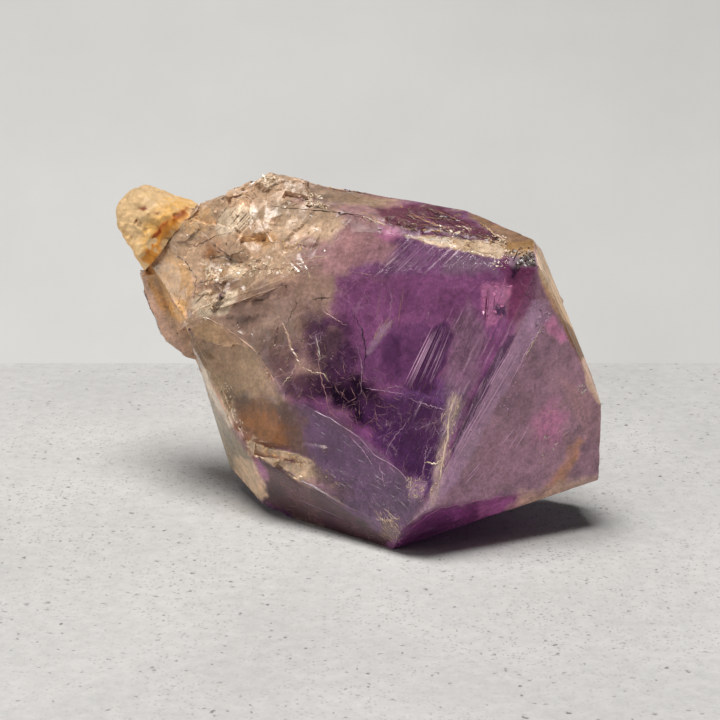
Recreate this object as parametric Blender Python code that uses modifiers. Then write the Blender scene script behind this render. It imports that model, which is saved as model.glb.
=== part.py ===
"""Raw amethyst point: one broken quartz crystal lying on its flattened side, and the matrix nub at its root.

Run it with blender --background --python part.py, or from Blender's text editor. Metres, +Z up. The crystal is
80 mm long in X with its root end at -X, it faces -Y with its big clear face, and it rests on the flat at z = 0.
"""

import bmesh
import bpy
import math
import numpy as np
from mathutils import Euler, Matrix, Vector, noise
from mathutils.geometry import normal as facet_normal

MM = 0.001
MERGE = 0.05 * MM
FLAT_WITHIN = math.radians(0.6)
BLOCK = 200 * MM
SEED = 17

# Corners of the crystal, in millimetres. A facet is the plane through three of them.
CORNERS = {
    "front_point": (10.0, -24.0, 9.0),
    "foot": (5.3, -18.0, 0.0),
    "right_low": (39.0, -9.6, 8.8),
    "right_high": (39.0, -9.6, 21.0),
    "right_behind": (36.0, 6.0, 14.0),
    "shoulder_front": (27.1, -15.5, 42.2),
    "clear_face_left": (-4.9, -5.5, 33.1),
    "hip": (-18.1, -5.0, 12.0),
    "root_front": (-28.8, 4.3, 30.9),
    "foot_left": (-2.5, -11.4, 0.0),
    "belly_back": (14.0, 14.0, 0.0),
    "band_right": (22.5, -11.9, 45.3),
    "band_left": (-1.6, -2.8, 41.6),
    "band_top": (7.3, -1.0, 47.8),
    "roof_left": (-12.5, 12.6, 50.4),
    "roof_right": (22.2, -9.2, 47.7),
    "roof_back": (11.6, 9.5, 50.3),
    "shoulder_left": (17.5, 7.5, 49.7),
    "shoulder_right": (28.0, -5.5, 47.9),
    "shoulder_low": (30.0, 8.0, 42.0),
    "sliver_top": (27.6, -15.3, 47.0),
    "sliver_low": (35.5, -11.3, 29.4),
    "sliver_back": (34.1, -2.0, 34.1),
    "flank_front": (-28.9, 4.5, 31.2),
    "flank_low": (-22.4, 6.5, 9.2),
    "flank_middle": (-26.5, 7.3, 20.2),
    "flank_foot": (-21.9, 10.6, 2.1),
    "flank_back": (-17.5, 25.3, 20.2),
    "toe_left": (-20.4, 5.0, 2.7),
    "toe_front": (-12.0, -2.6, 0.0),
    "toe_back": (-8.0, 9.0, 0.0),
    "root_left": (-28.4, 4.3, 31.4),
    "root_upper": (-28.0, 7.0, 37.2),
    "root_side": (-35.2, 17.0, 38.2),
    "bevel_top": (25.6, -15.3, 41.1),
    "bevel_right": (29.3, -14.4, 37.3),
    "bevel_low": (10.1, -23.8, 9.4),
}

CRYSTAL_FACETS = {
    "clear_face": ("front_point", "shoulder_front", "clear_face_left"),
    "right_face": ("front_point", "right_high", "right_low"),
    "ridge_bevel": ("bevel_top", "bevel_right", "bevel_low"),
    "underside": ("foot", "front_point", "right_low"),
    "lower_left": ("front_point", "hip", "root_front"),
    "lower_strip": ("foot", "hip", "foot_left"),
    "belly": ("foot", "right_low", "belly_back"),
    "striated_band": ("band_right", "band_left", "band_top"),
    "roof": ("roof_left", "roof_right", "roof_back"),
    "shoulder": ("shoulder_left", "shoulder_right", "shoulder_low"),
    "right_sliver": ("sliver_top", "sliver_low", "sliver_back"),
    "right_end": ("right_high", "right_low", "right_behind"),
    "flank": ("flank_front", "hip", "flank_low"),
    "flank_behind": ("flank_middle", "flank_foot", "flank_back"),
    "toe": ("toe_left", "toe_front", "toe_back"),
    "root": ("root_upper", "root_left", "root_side"),
}

# The hidden facets behind, each as its outward direction and its distance from the origin in millimetres.
BACK_FACETS = (
    ((-0.50, 0.86, 0.05), 27.0),
    ((0.46, 0.88, 0.10), 19.0),
    ((0.15, 0.70, -0.70), 6.0),
    ((0.80, 0.56, 0.20), 33.0),
)
INSIDE = (2.0, 0.0, 27.0)

# The broken root end, a shelf beside the nub and a peak behind it, in millimetres.
ROOT_CORNERS = {
    "shelf_front_low": (-28.4, 4.6, 34.0),
    "shelf_front_top": (-27.0, 12.0, 49.6),
    "shelf_front_right": (-16.0, 4.0, 40.0),
    "bevel_top": (-22.4, 10.9, 50.5),
    "bevel_low": (-18.3, 4.9, 41.0),
    "bevel_back": (-18.4, 15.9, 50.5),
    "peak_front_top": (-9.4, 12.9, 52.1),
    "peak_front_low": (-8.1, -0.8, 40.2),
    "peak_front_left": (-25.3, 13.3, 45.7),
    "side_top": (-27.9, 5.4, 37.6),
    "side_low": (-28.6, 4.3, 31.6),
    "side_left": (-35.4, 12.5, 39.4),
    "side_back": (-32.0, 13.0, 29.1),
    "under_left": (-28.4, 4.5, 31.4),
    "under_right": (-9.0, 0.0, 40.2),
    "under_back": (-28.4, 24.5, 23.0),
    "shelf_left": (-25.9, 13.0, 49.8),
    "shelf_right": (-23.1, 13.0, 50.8),
    "shelf_back": (-24.9, 22.0, 47.8),
    "peak_left": (-22.2, 15.5, 51.5),
    "peak_top": (-15.5, 17.0, 54.1),
    "peak_back": (-21.2, 24.5, 49.0),
    "crest_right": (-11.5, 18.5, 52.8),
    "crest_back": (-13.5, 26.0, 51.6),
}
ROOT_FACETS = {
    "side": ("side_top", "side_low", "side_left"),
    "side_under": ("side_low", "side_left", "side_back"),
    "under": ("under_left", "under_right", "under_back"),
}
SHELF_FACETS = {
    "shelf_front": ("shelf_front_low", "shelf_front_top", "shelf_front_right"),
    "shelf_bevel": ("bevel_top", "bevel_low", "bevel_back"),
    "shelf": ("shelf_left", "shelf_right", "shelf_back"),
}
PEAK_FACETS = {
    "peak_front": ("peak_front_top", "peak_front_low", "peak_front_left"),
    "peak": ("peak_left", "peak_top", "peak_back"),
    "crest": ("peak_top", "crest_right", "crest_back"),
}
ROOT_LIMITS = (
    ((1.0, 0.0, 0.25), 4.0),
    ((-0.35, 0.93, 0.10), 30.0),
    ((0.40, 0.91, 0.10), 20.0),
)
ROOT_INSIDE = (-24.0, 15.0, 42.0)
PEAK_SIDE = (-30.1, 0.0, 0.0)
PEAK_SIDE_WAY = (-1.0, 0.0, 0.15)

# The seat where the nub sits on the root: three corners, and the parting gap between the two solids.
SEAT = ((-27.1, 11.0, 50.1), (-36.3, 11.0, 38.8), (-28.4, 29.0, 45.9))
SEAT_GAP = 0.3

# The thin blade grown along the left flank: its outline in X and Z, its middle in Y and its thickness.
BLADE_OUTLINE = (
    (-37.2, 37.4),
    (-36.6, 33.8),
    (-34.9, 29.4),
    (-33.5, 25.6),
    (-30.0, 22.8),
    (-27.6, 21.6),
    (-21.5, 21.0),
    (-22.0, 33.0),
    (-33.0, 37.9),
)
BLADE_Y = 14.2
BLADE_THICK = 4.6
BLADE_TURN = math.radians(9)

# The nub of cream matrix: outline facets as outward direction and a point they pass, in millimetres.
NUB_FACETS = (
    ((-0.88, -0.05, -0.48), (-39.1, 17.0, 42.0)),
    ((-1.00, 0.00, -0.06), (-41.0, 17.0, 46.1)),
    ((-0.84, 0.05, 0.55), (-40.3, 17.0, 48.9)),
    ((-0.20, 0.10, 0.98), (-36.8, 17.0, 51.5)),
    ((0.36, 0.05, 0.93), (-32.0, 17.0, 49.6)),
    ((-0.35, -0.92, 0.18), (-36.0, 10.4, 45.1)),
    ((0.25, -0.95, -0.15), (-32.0, 10.8, 44.1)),
    ((-0.30, 0.93, 0.15), (-36.0, 24.5, 45.1)),
    ((-0.62, 0.60, 0.50), (-38.5, 22.2, 48.6)),
)
NUB_INSIDE = (-35.0, 17.0, 45.6)
NUB_LUMP = 0.35
NUB_LUMP_SIZE = 3.4

# Two conchoidal scoops in the lower left face: centre and radius in millimetres, and how many sides.
SCOOPS = (
    ("scoop_upper", (-40.7, -28.5, 25.4), 35.5, 64),
    ("scoop_lower", (-70.9, -122.7, 27.2), 129.3, 130),
)
SCOOP_REACH = 70.0

# Ledges and pits: place, size, turn in degrees, all in millimetres.
NOTCHES = (
    ("hip_ledge", (-12.6, -8.2, 13.0), (11.5, 4.0, 2.4), (-18, -4, -36)),
    ("roof_fissure", (-4.5, 8.0, 51.2), (20.0, 1.4, 3.0), (24, 4, -32)),
    ("roof_fissure_right", (16.5, -4.6, 49.2), (15.0, 1.8, 2.6), (28, 4, -31)),
    ("shoulder_break", (27.0, -12.2, 47.8), (5.0, 3.6, 3.0), (38, 12, -20)),
    ("back_ledge", (-15.0, 22.0, 22.0), (20.0, 6.0, 9.0), (6, 18, 27)),
    ("back_step", (22.0, 9.5, 8.0), (20.0, 5.0, 8.0), (-8, 10, -27)),
)

# Chips: a run between two places, how many, their radius, how deep they bite and their spread, in millimetres.
CHIPS = (
    ("root_chip", (-27.0, 7.0, 37.0), (-14.0, 8.0, 46.0), 13, (2.6, 4.6), (0.5, 1.1), 4.6),
    ("root_top_chip", (-25.5, 14.0, 49.5), (-12.0, 15.0, 52.5), 9, (2.2, 4.0), (0.5, 1.1), 2.0),
    ("ridge_chip", (1.0, 4.2, 49.6), (23.0, -9.4, 47.9), 11, (1.6, 2.8), (0.4, 0.9), 1.3),
    ("seat_chip", (-34.0, 13.0, 39.5), (-27.5, 11.5, 48.0), 4, (1.6, 2.4), (0.3, 0.6), 0.8),
    ("hip_chip", (-22.5, 1.8, 16.0), (-17.0, -5.6, 12.0), 4, (1.6, 2.4), (0.3, 0.6), 0.6),
    ("back_chip", (-22.0, 17.0, 40.0), (4.0, 17.0, 26.0), 8, (3.0, 6.0), (0.6, 1.4), 6.0),
)

# Surface triangles and relief, in millimetres.
LONGEST_EDGE = 3.4
FLAT_RELIEF = 0.03
FLAT_RELIEF_SIZE = 4.0
ROOT_RELIEF = 0.55
ROOT_RELIEF_SIZE = 2.6
ROOT_ROUGH_FROM = (-12.0, 0.0, 30.0)
ROOT_ROUGH_WAY = Vector((-0.80, 0.15, 0.58)).normalized()
ROOT_ROUGH_FADE = 9.0
SEAT_FADE = 2.5
BASE_KEEP = 0.6

MATERIALS = {
    "amethyst": ((0.32, 0.16, 0.42, 1.0), 0.12, 0.7),
    "iron_stained_matrix": ((0.72, 0.55, 0.34, 1.0), 0.55, 0.0),
}


def clear_scene():
    for obj in list(bpy.data.objects):
        bpy.data.objects.remove(obj)


def new_collection(name):
    collection = bpy.data.collections.new(name)
    bpy.context.scene.collection.children.link(collection)
    return collection


def make_material(name):
    """A Principled material of one of the two finishes."""
    color, roughness, transmission = MATERIALS[name]
    material = bpy.data.materials.new(name)
    material.use_nodes = True
    shader = material.node_tree.nodes["Principled BSDF"]
    shader.inputs["Base Color"].default_value = color
    shader.inputs["Roughness"].default_value = roughness
    shader.inputs["Metallic"].default_value = 0.0
    shader.inputs["Transmission Weight"].default_value = transmission
    return material


def mm(place):
    return Vector(place) * MM


def outward_plane(places, inside):
    """The plane through three places, its direction pointing away from the inside."""
    first, second, third = (mm(place) for place in places)
    direction = facet_normal(first, second, third)
    if direction.dot(mm(inside) - first) > 0:
        direction.negate()
    return first, direction


def merge_flats(mesh):
    """Joins corners that all but touch and faces that lie in one plane, and drops scraps with no neighbour."""
    bmesh.ops.remove_doubles(mesh, verts=mesh.verts[:], dist=MERGE)
    bmesh.ops.dissolve_degenerate(mesh, edges=mesh.edges[:], dist=MERGE)
    bmesh.ops.dissolve_limit(mesh, angle_limit=FLAT_WITHIN, verts=mesh.verts[:], edges=mesh.edges[:])
    scraps = [face for face in mesh.faces if all(edge.is_boundary for edge in face.edges)]
    bmesh.ops.delete(mesh, geom=scraps, context="FACES")
    loose = [edge for edge in mesh.edges if edge.is_wire]
    bmesh.ops.delete(mesh, geom=loose, context="EDGES")


def cut_and_close(mesh, point, direction):
    """Removes what lies beyond a plane and closes the solid with one flat face."""
    everything = mesh.verts[:] + mesh.edges[:] + mesh.faces[:]
    cut = bmesh.ops.bisect_plane(
        mesh, geom=everything, dist=MERGE, plane_co=point, plane_no=direction, clear_outer=True
    )
    rim = [item for item in cut["geom_cut"] if isinstance(item, bmesh.types.BMEdge)]
    if rim:
        bmesh.ops.edgeloop_fill(mesh, edges=rim)


def new_object(name, mesh, collection):
    """An object made from a bmesh, which is freed."""
    bmesh.ops.recalc_face_normals(mesh, faces=mesh.faces[:])
    data = bpy.data.meshes.new(name)
    mesh.to_mesh(data)
    mesh.free()
    obj = bpy.data.objects.new(name, data)
    collection.objects.link(obj)
    return obj


def faceted_block(name, planes, collection):
    """A block primitive cut down to the solid inside all the planes."""
    mesh = bmesh.new()
    bmesh.ops.create_cube(mesh, size=BLOCK)
    for point, direction in planes:
        cut_and_close(mesh, point, direction)
    merge_flats(mesh)
    return new_object(name, mesh, collection)


def corner_planes(facets, corners, inside):
    return [outward_plane([corners[c] for c in names], inside) for names in facets.values()]


def distance_planes(facets):
    planes = []
    for direction, distance in facets:
        unit = Vector(direction).normalized()
        planes.append((unit * distance * MM, unit))
    return planes


def apply_modifiers(obj):
    """Bakes the object's modifiers into its own mesh."""
    bpy.context.view_layer.update()
    evaluated = obj.evaluated_get(bpy.context.evaluated_depsgraph_get())
    data = bpy.data.meshes.new_from_object(evaluated)
    obj.modifiers.clear()
    obj.data = data


def combine(obj, operation, other):
    """Joins a solid to the object, or cuts it away, and keeps the other as a hidden cutter."""
    other.hide_render = True
    other.display_type = "WIRE"
    modifier = obj.modifiers.new(f"{operation.lower()}_{other.name}", "BOOLEAN")
    modifier.operation = operation
    modifier.object = other
    modifier.solver = "EXACT"
    apply_modifiers(obj)
    mesh = bmesh.new()
    mesh.from_mesh(obj.data)
    merge_flats(mesh)
    mesh.to_mesh(obj.data)
    mesh.free()


def seat_plane(offset):
    """The seat, moved by an offset in millimetres away from the crystal."""
    point, direction = outward_plane(SEAT, INSIDE)
    return point + direction * offset * MM, direction


def make_root_lumps(collection):
    """The broken root in two overlapping lumps, a low shelf and a peak, both cut off at the nub's seat."""
    shared = corner_planes(ROOT_FACETS, ROOT_CORNERS, ROOT_INSIDE) + distance_planes(ROOT_LIMITS)
    shared.append(seat_plane(-SEAT_GAP / 2))
    shelf = shared + corner_planes(SHELF_FACETS, ROOT_CORNERS, ROOT_INSIDE)
    peak = shared + corner_planes(PEAK_FACETS, ROOT_CORNERS, ROOT_INSIDE)
    peak.append((mm(PEAK_SIDE), Vector(PEAK_SIDE_WAY).normalized()))
    return [
        faceted_block("root_shelf", shelf, collection),
        faceted_block("root_peak", peak, collection),
    ]


def make_blade(collection):
    """The side blade: a flat outline extruded to its thickness, turned along the flank and made a mesh."""
    curve = bpy.data.curves.new("side_blade_outline", "CURVE")
    curve.dimensions = "2D"
    curve.fill_mode = "BOTH"
    curve.extrude = BLADE_THICK / 2 * MM
    spline = curve.splines.new("POLY")
    spline.points.add(len(BLADE_OUTLINE) - 1)
    spline.use_cyclic_u = True
    for point, (x, z) in zip(spline.points, BLADE_OUTLINE):
        point.co = (x * MM, z * MM, 0.0, 1.0)
    outline = bpy.data.objects.new("side_blade_outline", curve)
    collection.objects.link(outline)
    upright = Matrix.Rotation(math.radians(90), 4, "X")
    about = mm((BLADE_OUTLINE[0][0], 0.0, 0.0))
    turn = Matrix.Translation(about) @ Matrix.Rotation(BLADE_TURN, 4, "Z") @ Matrix.Translation(-about)
    outline.matrix_world = Matrix.Translation(mm((0.0, BLADE_Y, 0.0))) @ turn @ upright
    bpy.context.view_layer.update()
    evaluated = outline.evaluated_get(bpy.context.evaluated_depsgraph_get())
    mesh = bmesh.new()
    mesh.from_mesh(bpy.data.meshes.new_from_object(evaluated))
    mesh.transform(outline.matrix_world)
    bpy.data.objects.remove(outline)
    bmesh.ops.remove_doubles(mesh, verts=mesh.verts[:], dist=MERGE)
    return new_object("side_blade", mesh, collection)


def make_scoop(name, centre, radius, segments, collection):
    """One shell-shaped scoop: the cap of a large ball, kept where it reaches the crystal."""
    mesh = bmesh.new()
    bmesh.ops.create_uvsphere(mesh, u_segments=segments, v_segments=segments // 2, radius=radius * MM)
    bmesh.ops.rotate(mesh, verts=mesh.verts[:], matrix=Euler((0.5, 0.3, 0.2)).to_matrix())
    bmesh.ops.translate(mesh, verts=mesh.verts[:], vec=mm(centre))
    toward = (mm(INSIDE) - mm(centre)).normalized()
    if radius > SCOOP_REACH:
        cut_and_close(mesh, mm(centre) + toward * (radius - SCOOP_REACH / 2) * MM, -toward)
    return new_object(name, mesh, collection)


def make_notch(name, place, size, turn, collection):
    mesh = bmesh.new()
    bmesh.ops.create_cube(mesh, size=1.0)
    bmesh.ops.scale(mesh, verts=mesh.verts[:], vec=mm(size))
    rotation = Euler([math.radians(angle) for angle in turn]).to_matrix()
    bmesh.ops.rotate(mesh, verts=mesh.verts[:], matrix=rotation)
    bmesh.ops.translate(mesh, verts=mesh.verts[:], vec=mm(place))
    return new_object(name, mesh, collection)


def surface_at(body, place):
    """The nearest point of a body's surface to a place, and the direction out of it."""
    found, point, direction, _ = body.closest_point_on_mesh(mm(place))
    if not found:
        raise RuntimeError("no surface near a chip")
    return point, direction


def make_chips(body, collection):
    """Conchoidal chips: small faceted balls that bite into the surface along a run, the same each time."""
    draw = np.random.default_rng(SEED)
    chips = []
    for name, start, end, count, radii, bites, spread in CHIPS:
        for number in range(count):
            along = (number + 0.5) / count
            place = Vector(start).lerp(Vector(end), along) + Vector(draw.uniform(-spread, spread, 3))
            point, direction = surface_at(body, place)
            radius = draw.uniform(*radii)
            bite = draw.uniform(*bites)
            mesh = bmesh.new()
            bmesh.ops.create_icosphere(mesh, subdivisions=1, radius=radius * MM)
            turn = Euler(draw.uniform(0, math.tau, 3)).to_matrix()
            bmesh.ops.rotate(mesh, verts=mesh.verts[:], matrix=turn)
            bmesh.ops.translate(mesh, verts=mesh.verts[:], vec=point + direction * (radius - bite) * MM)
            chips.append(new_object(f"{name}_{number + 1}", mesh, collection))
    return chips


def even_triangles(mesh, longest):
    """Splits the longest edges until every triangle is about the same size."""
    bmesh.ops.triangulate(mesh, faces=mesh.faces[:])
    while True:
        long_edges = [edge for edge in mesh.edges if edge.calc_length() > longest * MM]
        if not long_edges:
            return
        long_edges.sort(key=lambda edge: -edge.calc_length())
        limit = max(longest * MM, long_edges[0].calc_length() * 0.6)
        chosen = [edge for edge in long_edges if edge.calc_length() >= limit]
        bmesh.ops.subdivide_edges(mesh, edges=chosen, cuts=1)
        bmesh.ops.triangulate(mesh, faces=mesh.faces[:], quad_method="SHORT_EDGE", ngon_method="BEAUTY")


def smooth_step(value):
    value = min(max(value, 0.0), 1.0)
    return value * value * (3 - 2 * value)


def relief_at(place, seat_point, seat_direction):
    """How far the surface stands proud at a place: faint on the facets, rough at the broken root."""
    millimetres = place / MM
    faint = noise.noise(millimetres / FLAT_RELIEF_SIZE) * FLAT_RELIEF
    along = (millimetres - Vector(ROOT_ROUGH_FROM)).dot(ROOT_ROUGH_WAY) / ROOT_ROUGH_FADE
    near_seat = abs((place - seat_point).dot(seat_direction)) / MM
    rough = smooth_step(along) * smooth_step(near_seat / SEAT_FADE)
    cell = noise.voronoi(millimetres / ROOT_RELIEF_SIZE)[0]
    return (faint + rough * ROOT_RELIEF * (cell[1] - cell[0] - 0.35)) * MM


def add_relief(mesh):
    """Moves each corner along its own direction by the relief, and leaves the resting flat alone."""
    seat_point, seat_direction = seat_plane(0.0)
    mesh.normal_update()
    moves = []
    for vert in mesh.verts:
        resting = vert.co.z < BASE_KEEP * MM
        height = 0.0 if resting else relief_at(vert.co, seat_point, seat_direction)
        moves.append(vert.normal * height)
    for vert, move in zip(mesh.verts, moves):
        vert.co += move


def make_crystal(collection, cutters, material):
    planes = corner_planes(CRYSTAL_FACETS, CORNERS, INSIDE) + distance_planes(BACK_FACETS)
    planes.append((Vector((0.0, 0.0, 0.0)), Vector((0.0, 0.0, -1.0))))
    planes.append(seat_plane(-SEAT_GAP / 2))
    crystal = faceted_block("amethyst_crystal", planes, collection)
    for part in make_root_lumps(cutters) + [make_blade(cutters)]:
        combine(crystal, "UNION", part)
    for scoop in SCOOPS:
        combine(crystal, "DIFFERENCE", make_scoop(*scoop, cutters))
    for notch in NOTCHES:
        combine(crystal, "DIFFERENCE", make_notch(*notch, cutters))
    for chip in make_chips(crystal, cutters):
        combine(crystal, "DIFFERENCE", chip)
    mesh = bmesh.new()
    mesh.from_mesh(crystal.data)
    even_triangles(mesh, LONGEST_EDGE)
    add_relief(mesh)
    mesh.to_mesh(crystal.data)
    mesh.free()
    crystal.data.materials.clear()
    crystal.data.materials.append(material)
    return crystal


def make_nub(collection, material):
    """A rounded lump of cream matrix: a coarse faceted cage, softened, made uneven and cut flat at its seat."""
    planes = []
    for direction, place in NUB_FACETS:
        planes.append((mm(place), Vector(direction).normalized()))
    planes.append(seat_plane(-4.0))
    inside = mm(NUB_INSIDE)
    planes = [(point, way if way.dot(inside - point) < 0 else -way) for point, way in planes]
    nub = faceted_block("matrix_nub", planes, collection)
    for kind, levels in (("SIMPLE", 1), ("CATMULL_CLARK", 2)):
        softened = nub.modifiers.new(f"soften_{kind.lower()}", "SUBSURF")
        softened.subdivision_type = kind
        softened.levels = levels
        softened.render_levels = levels
    apply_modifiers(nub)
    mesh = bmesh.new()
    mesh.from_mesh(nub.data)
    mesh.normal_update()
    for vert in mesh.verts:
        lump = noise.fractal(vert.co / MM / NUB_LUMP_SIZE, 0.8, 2.0, 3)
        vert.co += vert.normal * lump * NUB_LUMP * MM
    point, direction = seat_plane(SEAT_GAP / 2)
    cut_and_close(mesh, point, -direction)
    bmesh.ops.triangulate(mesh, faces=mesh.faces[:])
    bmesh.ops.recalc_face_normals(mesh, faces=mesh.faces[:])
    mesh.to_mesh(nub.data)
    mesh.free()
    nub.data.materials.clear()
    nub.data.materials.append(material)
    nub.data.shade_smooth()
    nub.data.set_sharp_from_angle(angle=math.radians(40))
    return nub


def centre_on_base(pieces):
    """Moves the pieces together, so that the middle of their box in X and Y is the origin and z = 0 stays."""
    corners = np.array([vert.co for piece in pieces for vert in piece.data.vertices])
    middle = (corners.min(axis=0) + corners.max(axis=0)) / 2
    for piece in pieces:
        piece.data.transform(Matrix.Translation((-middle[0], -middle[1], 0.0)))


def main():
    clear_scene()
    parts = new_collection("raw_amethyst_point")
    cutters = new_collection("cutters")
    crystal = make_crystal(parts, cutters, make_material("amethyst"))
    nub = make_nub(parts, make_material("iron_stained_matrix"))
    centre_on_base([crystal, nub])


main()
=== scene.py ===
"""Raw amethyst point, dressed: a faceted purple quartz crystal on its side, with a nub of stained matrix.

The crystal's skin is the solid's own surface, drawn finer and given growth relief, broken grain and
colour zones. Growth lines, cracks, veils of tiny inclusions and splinters are separate meshes on it and
in it. Run it as a script.
"""

import math

import bpy
import numpy as np
from mathutils import Matrix, Vector
from mathutils.bvhtree import BVHTree


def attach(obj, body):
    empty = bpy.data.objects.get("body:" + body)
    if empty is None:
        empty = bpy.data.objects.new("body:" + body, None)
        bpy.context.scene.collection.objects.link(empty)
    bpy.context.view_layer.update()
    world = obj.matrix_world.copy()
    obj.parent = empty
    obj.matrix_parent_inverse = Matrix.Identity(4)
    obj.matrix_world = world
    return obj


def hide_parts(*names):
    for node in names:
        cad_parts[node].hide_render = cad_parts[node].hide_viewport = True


bl_info = {
    "name": "Raw Amethyst Point",
    "version": (1, 0, 0),
    "blender": (4, 5, 0),
    "location": "View3D > Sidebar > Amethyst",
    "description": "Dresses a raw amethyst point with skin, growth lines, cracks, veils and matrix nub",
    "category": "Object",
}

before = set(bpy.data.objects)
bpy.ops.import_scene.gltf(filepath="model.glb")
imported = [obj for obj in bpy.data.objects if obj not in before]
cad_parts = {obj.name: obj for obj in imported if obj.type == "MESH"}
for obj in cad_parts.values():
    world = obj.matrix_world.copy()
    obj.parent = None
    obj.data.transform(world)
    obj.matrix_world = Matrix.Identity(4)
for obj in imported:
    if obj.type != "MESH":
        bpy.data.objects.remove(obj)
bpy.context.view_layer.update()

MM = 0.001
CRYSTAL = "amethyst_crystal"
NUB = "matrix_nub"
QUARTZ_IOR = 1.544

# The solids were placed about their own middle, so the picture's aim moves with them.
MOVED = np.array([1.03, -1.285, 0.0])

# The camera, in millimetres and in pixels of a square picture.
PICTURE = 720
FOCAL = 2303.0
DISTANCE = 380.0
LIFT = math.radians(17.0)
AIM = np.array([0.0, 0.0, 26.3]) + MOVED
SENSOR = 36.0

# The camera's right, up and forward directions, and its place.
RIGHT = np.array([1.0, 0.0, 0.0])
UP = np.array([0.0, math.sin(LIFT), math.cos(LIFT)])
FORWARD = np.array([0.0, math.cos(LIFT), -math.sin(LIFT)])
EYE = AIM - DISTANCE * FORWARD

# The crystal's middle, and how far off lines of sight from its sides start, in millimetres.
MIDDLE = np.array([2.0, -1.0, 26.0])
OUTSIDE = 200.0

# Where the broken root end starts and the way it goes, and the same for the colours along the body, in
# millimetres.
ROOT_START = np.array([-11.0, -1.3, 30.0])
ROOT_WAY = np.array([-0.80, 0.15, 0.58])
BODY_START = np.array([-22.0, 4.0, 42.0])
BODY_WAY = np.array([0.86, -0.30, -0.41])

# Three places on the seat between nub and crystal, and how far the nub's skin reaches over it.
SEAT = np.array([[-27.1, 11.0, 50.1], [-36.3, 11.0, 38.8], [-28.4, 29.0, 45.9]]) + MOVED
SEAT_REACH = 0.42

# The soft lamp and the wide weak light from the left, in metres: middle and sides, and where both aim.
LAMP_PLACE = (-0.10, -0.09, 0.9)
LAMP_SIDES = (0.5, 0.36)
FILL_PLACE = (-0.8, -0.05, 0.2)
FILL_SIDES = (0.5, 0.4)
LIGHT_AIM = (0.0, 0.0, 0.02)

# Light on a face, as shares of full: from the lamp and the side light when it faces them squarely, from
# the room above and the floor below, and through the body where that is clear.
LAMP_SHARE = 1.2
FILL_SHARE = 0.18
ROOM_SHARE = 0.04
FLOOR_SHARE = 0.315
THROUGH_SHARE = 0.32

# How clear the thin films are, the brightest that a painted colour may be, and how much brighter than it
# looks a colour is painted on the sides behind.
FILM_CLEAR = 0.15
BRIGHTEST = 0.92
BEHIND_GAIN = 1.6

# Roughness of a clean face of the skin, and what broken grain, haze and dull zones add to it.
CLEAN_ROUGH = 0.09
BROKEN_ROUGH = 0.26
HAZY_ROUGH = 0.08
DULL_ROUGH = 0.5

# Painted shade: the dark purple painted on the underside behind, as linear light, so that the floor's
# shadow under the crystal is darker and purple.
UNDERSIDE_SHADE = np.array([0.10, 0.015, 0.13])


def tone(red, green, blue):
    """A colour given as it looks, 0 to 255, turned to the scene's linear light."""
    value = np.array([red, green, blue]) / 255.0
    return np.where(value <= 0.04045, value / 12.92, ((value + 0.055) / 1.055) ** 2.4)


def picture_places(places):
    """Where places in millimetres show in the picture: pixels across and down."""
    offset = places - EYE
    ahead = offset @ FORWARD
    return PICTURE / 2 + FOCAL * (offset @ RIGHT) / ahead, PICTURE / 2 - FOCAL * (offset @ UP) / ahead


class Sight:
    """Meets a mesh along lines of sight, from the camera's place or straight in from a side."""

    def __init__(self, places, triangles):
        self.tree = BVHTree.FromPolygons(places.tolist(), triangles.tolist())

    def meet(self, starts, rays, shape):
        """First places and outward directions on the mesh along each ray; a miss gives no numbers."""
        none = Vector((math.nan,) * 3)
        hits = [self.tree.ray_cast(Vector(start), Vector(ray))[:2] for start, ray in zip(starts, rays)]
        places = np.array([hit[0] or none for hit in hits])
        normals = np.array([hit[1] or none for hit in hits])
        return places.reshape(*shape, 3), normals.reshape(*shape, 3)

    def seen(self, spots):
        """On the mesh under spots of the picture given in pixels, whatever the shape of the list."""
        flat = (np.asarray(spots, float).reshape(-1, 2) - PICTURE / 2) / FOCAL
        rays = FORWARD + flat[:, :1] * RIGHT - flat[:, 1:] * UP
        return self.meet(np.tile(EYE, (len(rays), 1)), rays, np.shape(spots)[:-1])

    def from_side(self, spots, azimuth, elevation):
        """On the mesh straight in from a side: spots are mm right of and above the body's middle."""
        turn, lift = math.radians(azimuth), math.radians(elevation)
        level = math.cos(lift)
        ahead = np.array([-math.sin(turn) * level, math.cos(turn) * level, -math.sin(lift)])
        right = np.array([math.cos(turn), math.sin(turn), 0.0])
        up = np.cross(right, ahead)
        flat = np.asarray(spots, float).reshape(-1, 2)
        starts = MIDDLE - OUTSIDE * ahead + flat[:, :1] * right + flat[:, 1:] * up
        return self.meet(starts, np.tile(ahead, (len(starts), 1)), np.shape(spots)[:-1])


def smooth(value):
    """Goes from 0 to 1 with flat ends, by 3t^2 - 2t^3."""
    value = np.clip(value, 0.0, 1.0)
    return value * value * (3.0 - 2.0 * value)


def unit(vectors):
    """Vectors brought to length one along the last axis."""
    return vectors / np.maximum(np.linalg.norm(vectors, axis=-1, keepdims=True), 1e-9)


def cell_value(cell, seed):
    """A repeatable number from -1 to 1 for each lattice cell, hashed from its three whole indices."""
    x, y, z = np.moveaxis(cell.astype(np.int64), -1, 0)
    mixed = x * 73856093 ^ y * 19349663 ^ z * 83492791 ^ (seed + 1) * 2654435761
    mixed = mixed & 0xFFFFFFFF
    mixed = ((mixed ^ (mixed >> 15)) * 2246822519) & 0xFFFFFFFF
    mixed = ((mixed ^ (mixed >> 13)) * 3266489917) & 0xFFFFFFFF
    return (mixed ^ (mixed >> 16)) / 0x7FFFFFFF - 1.0


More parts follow.
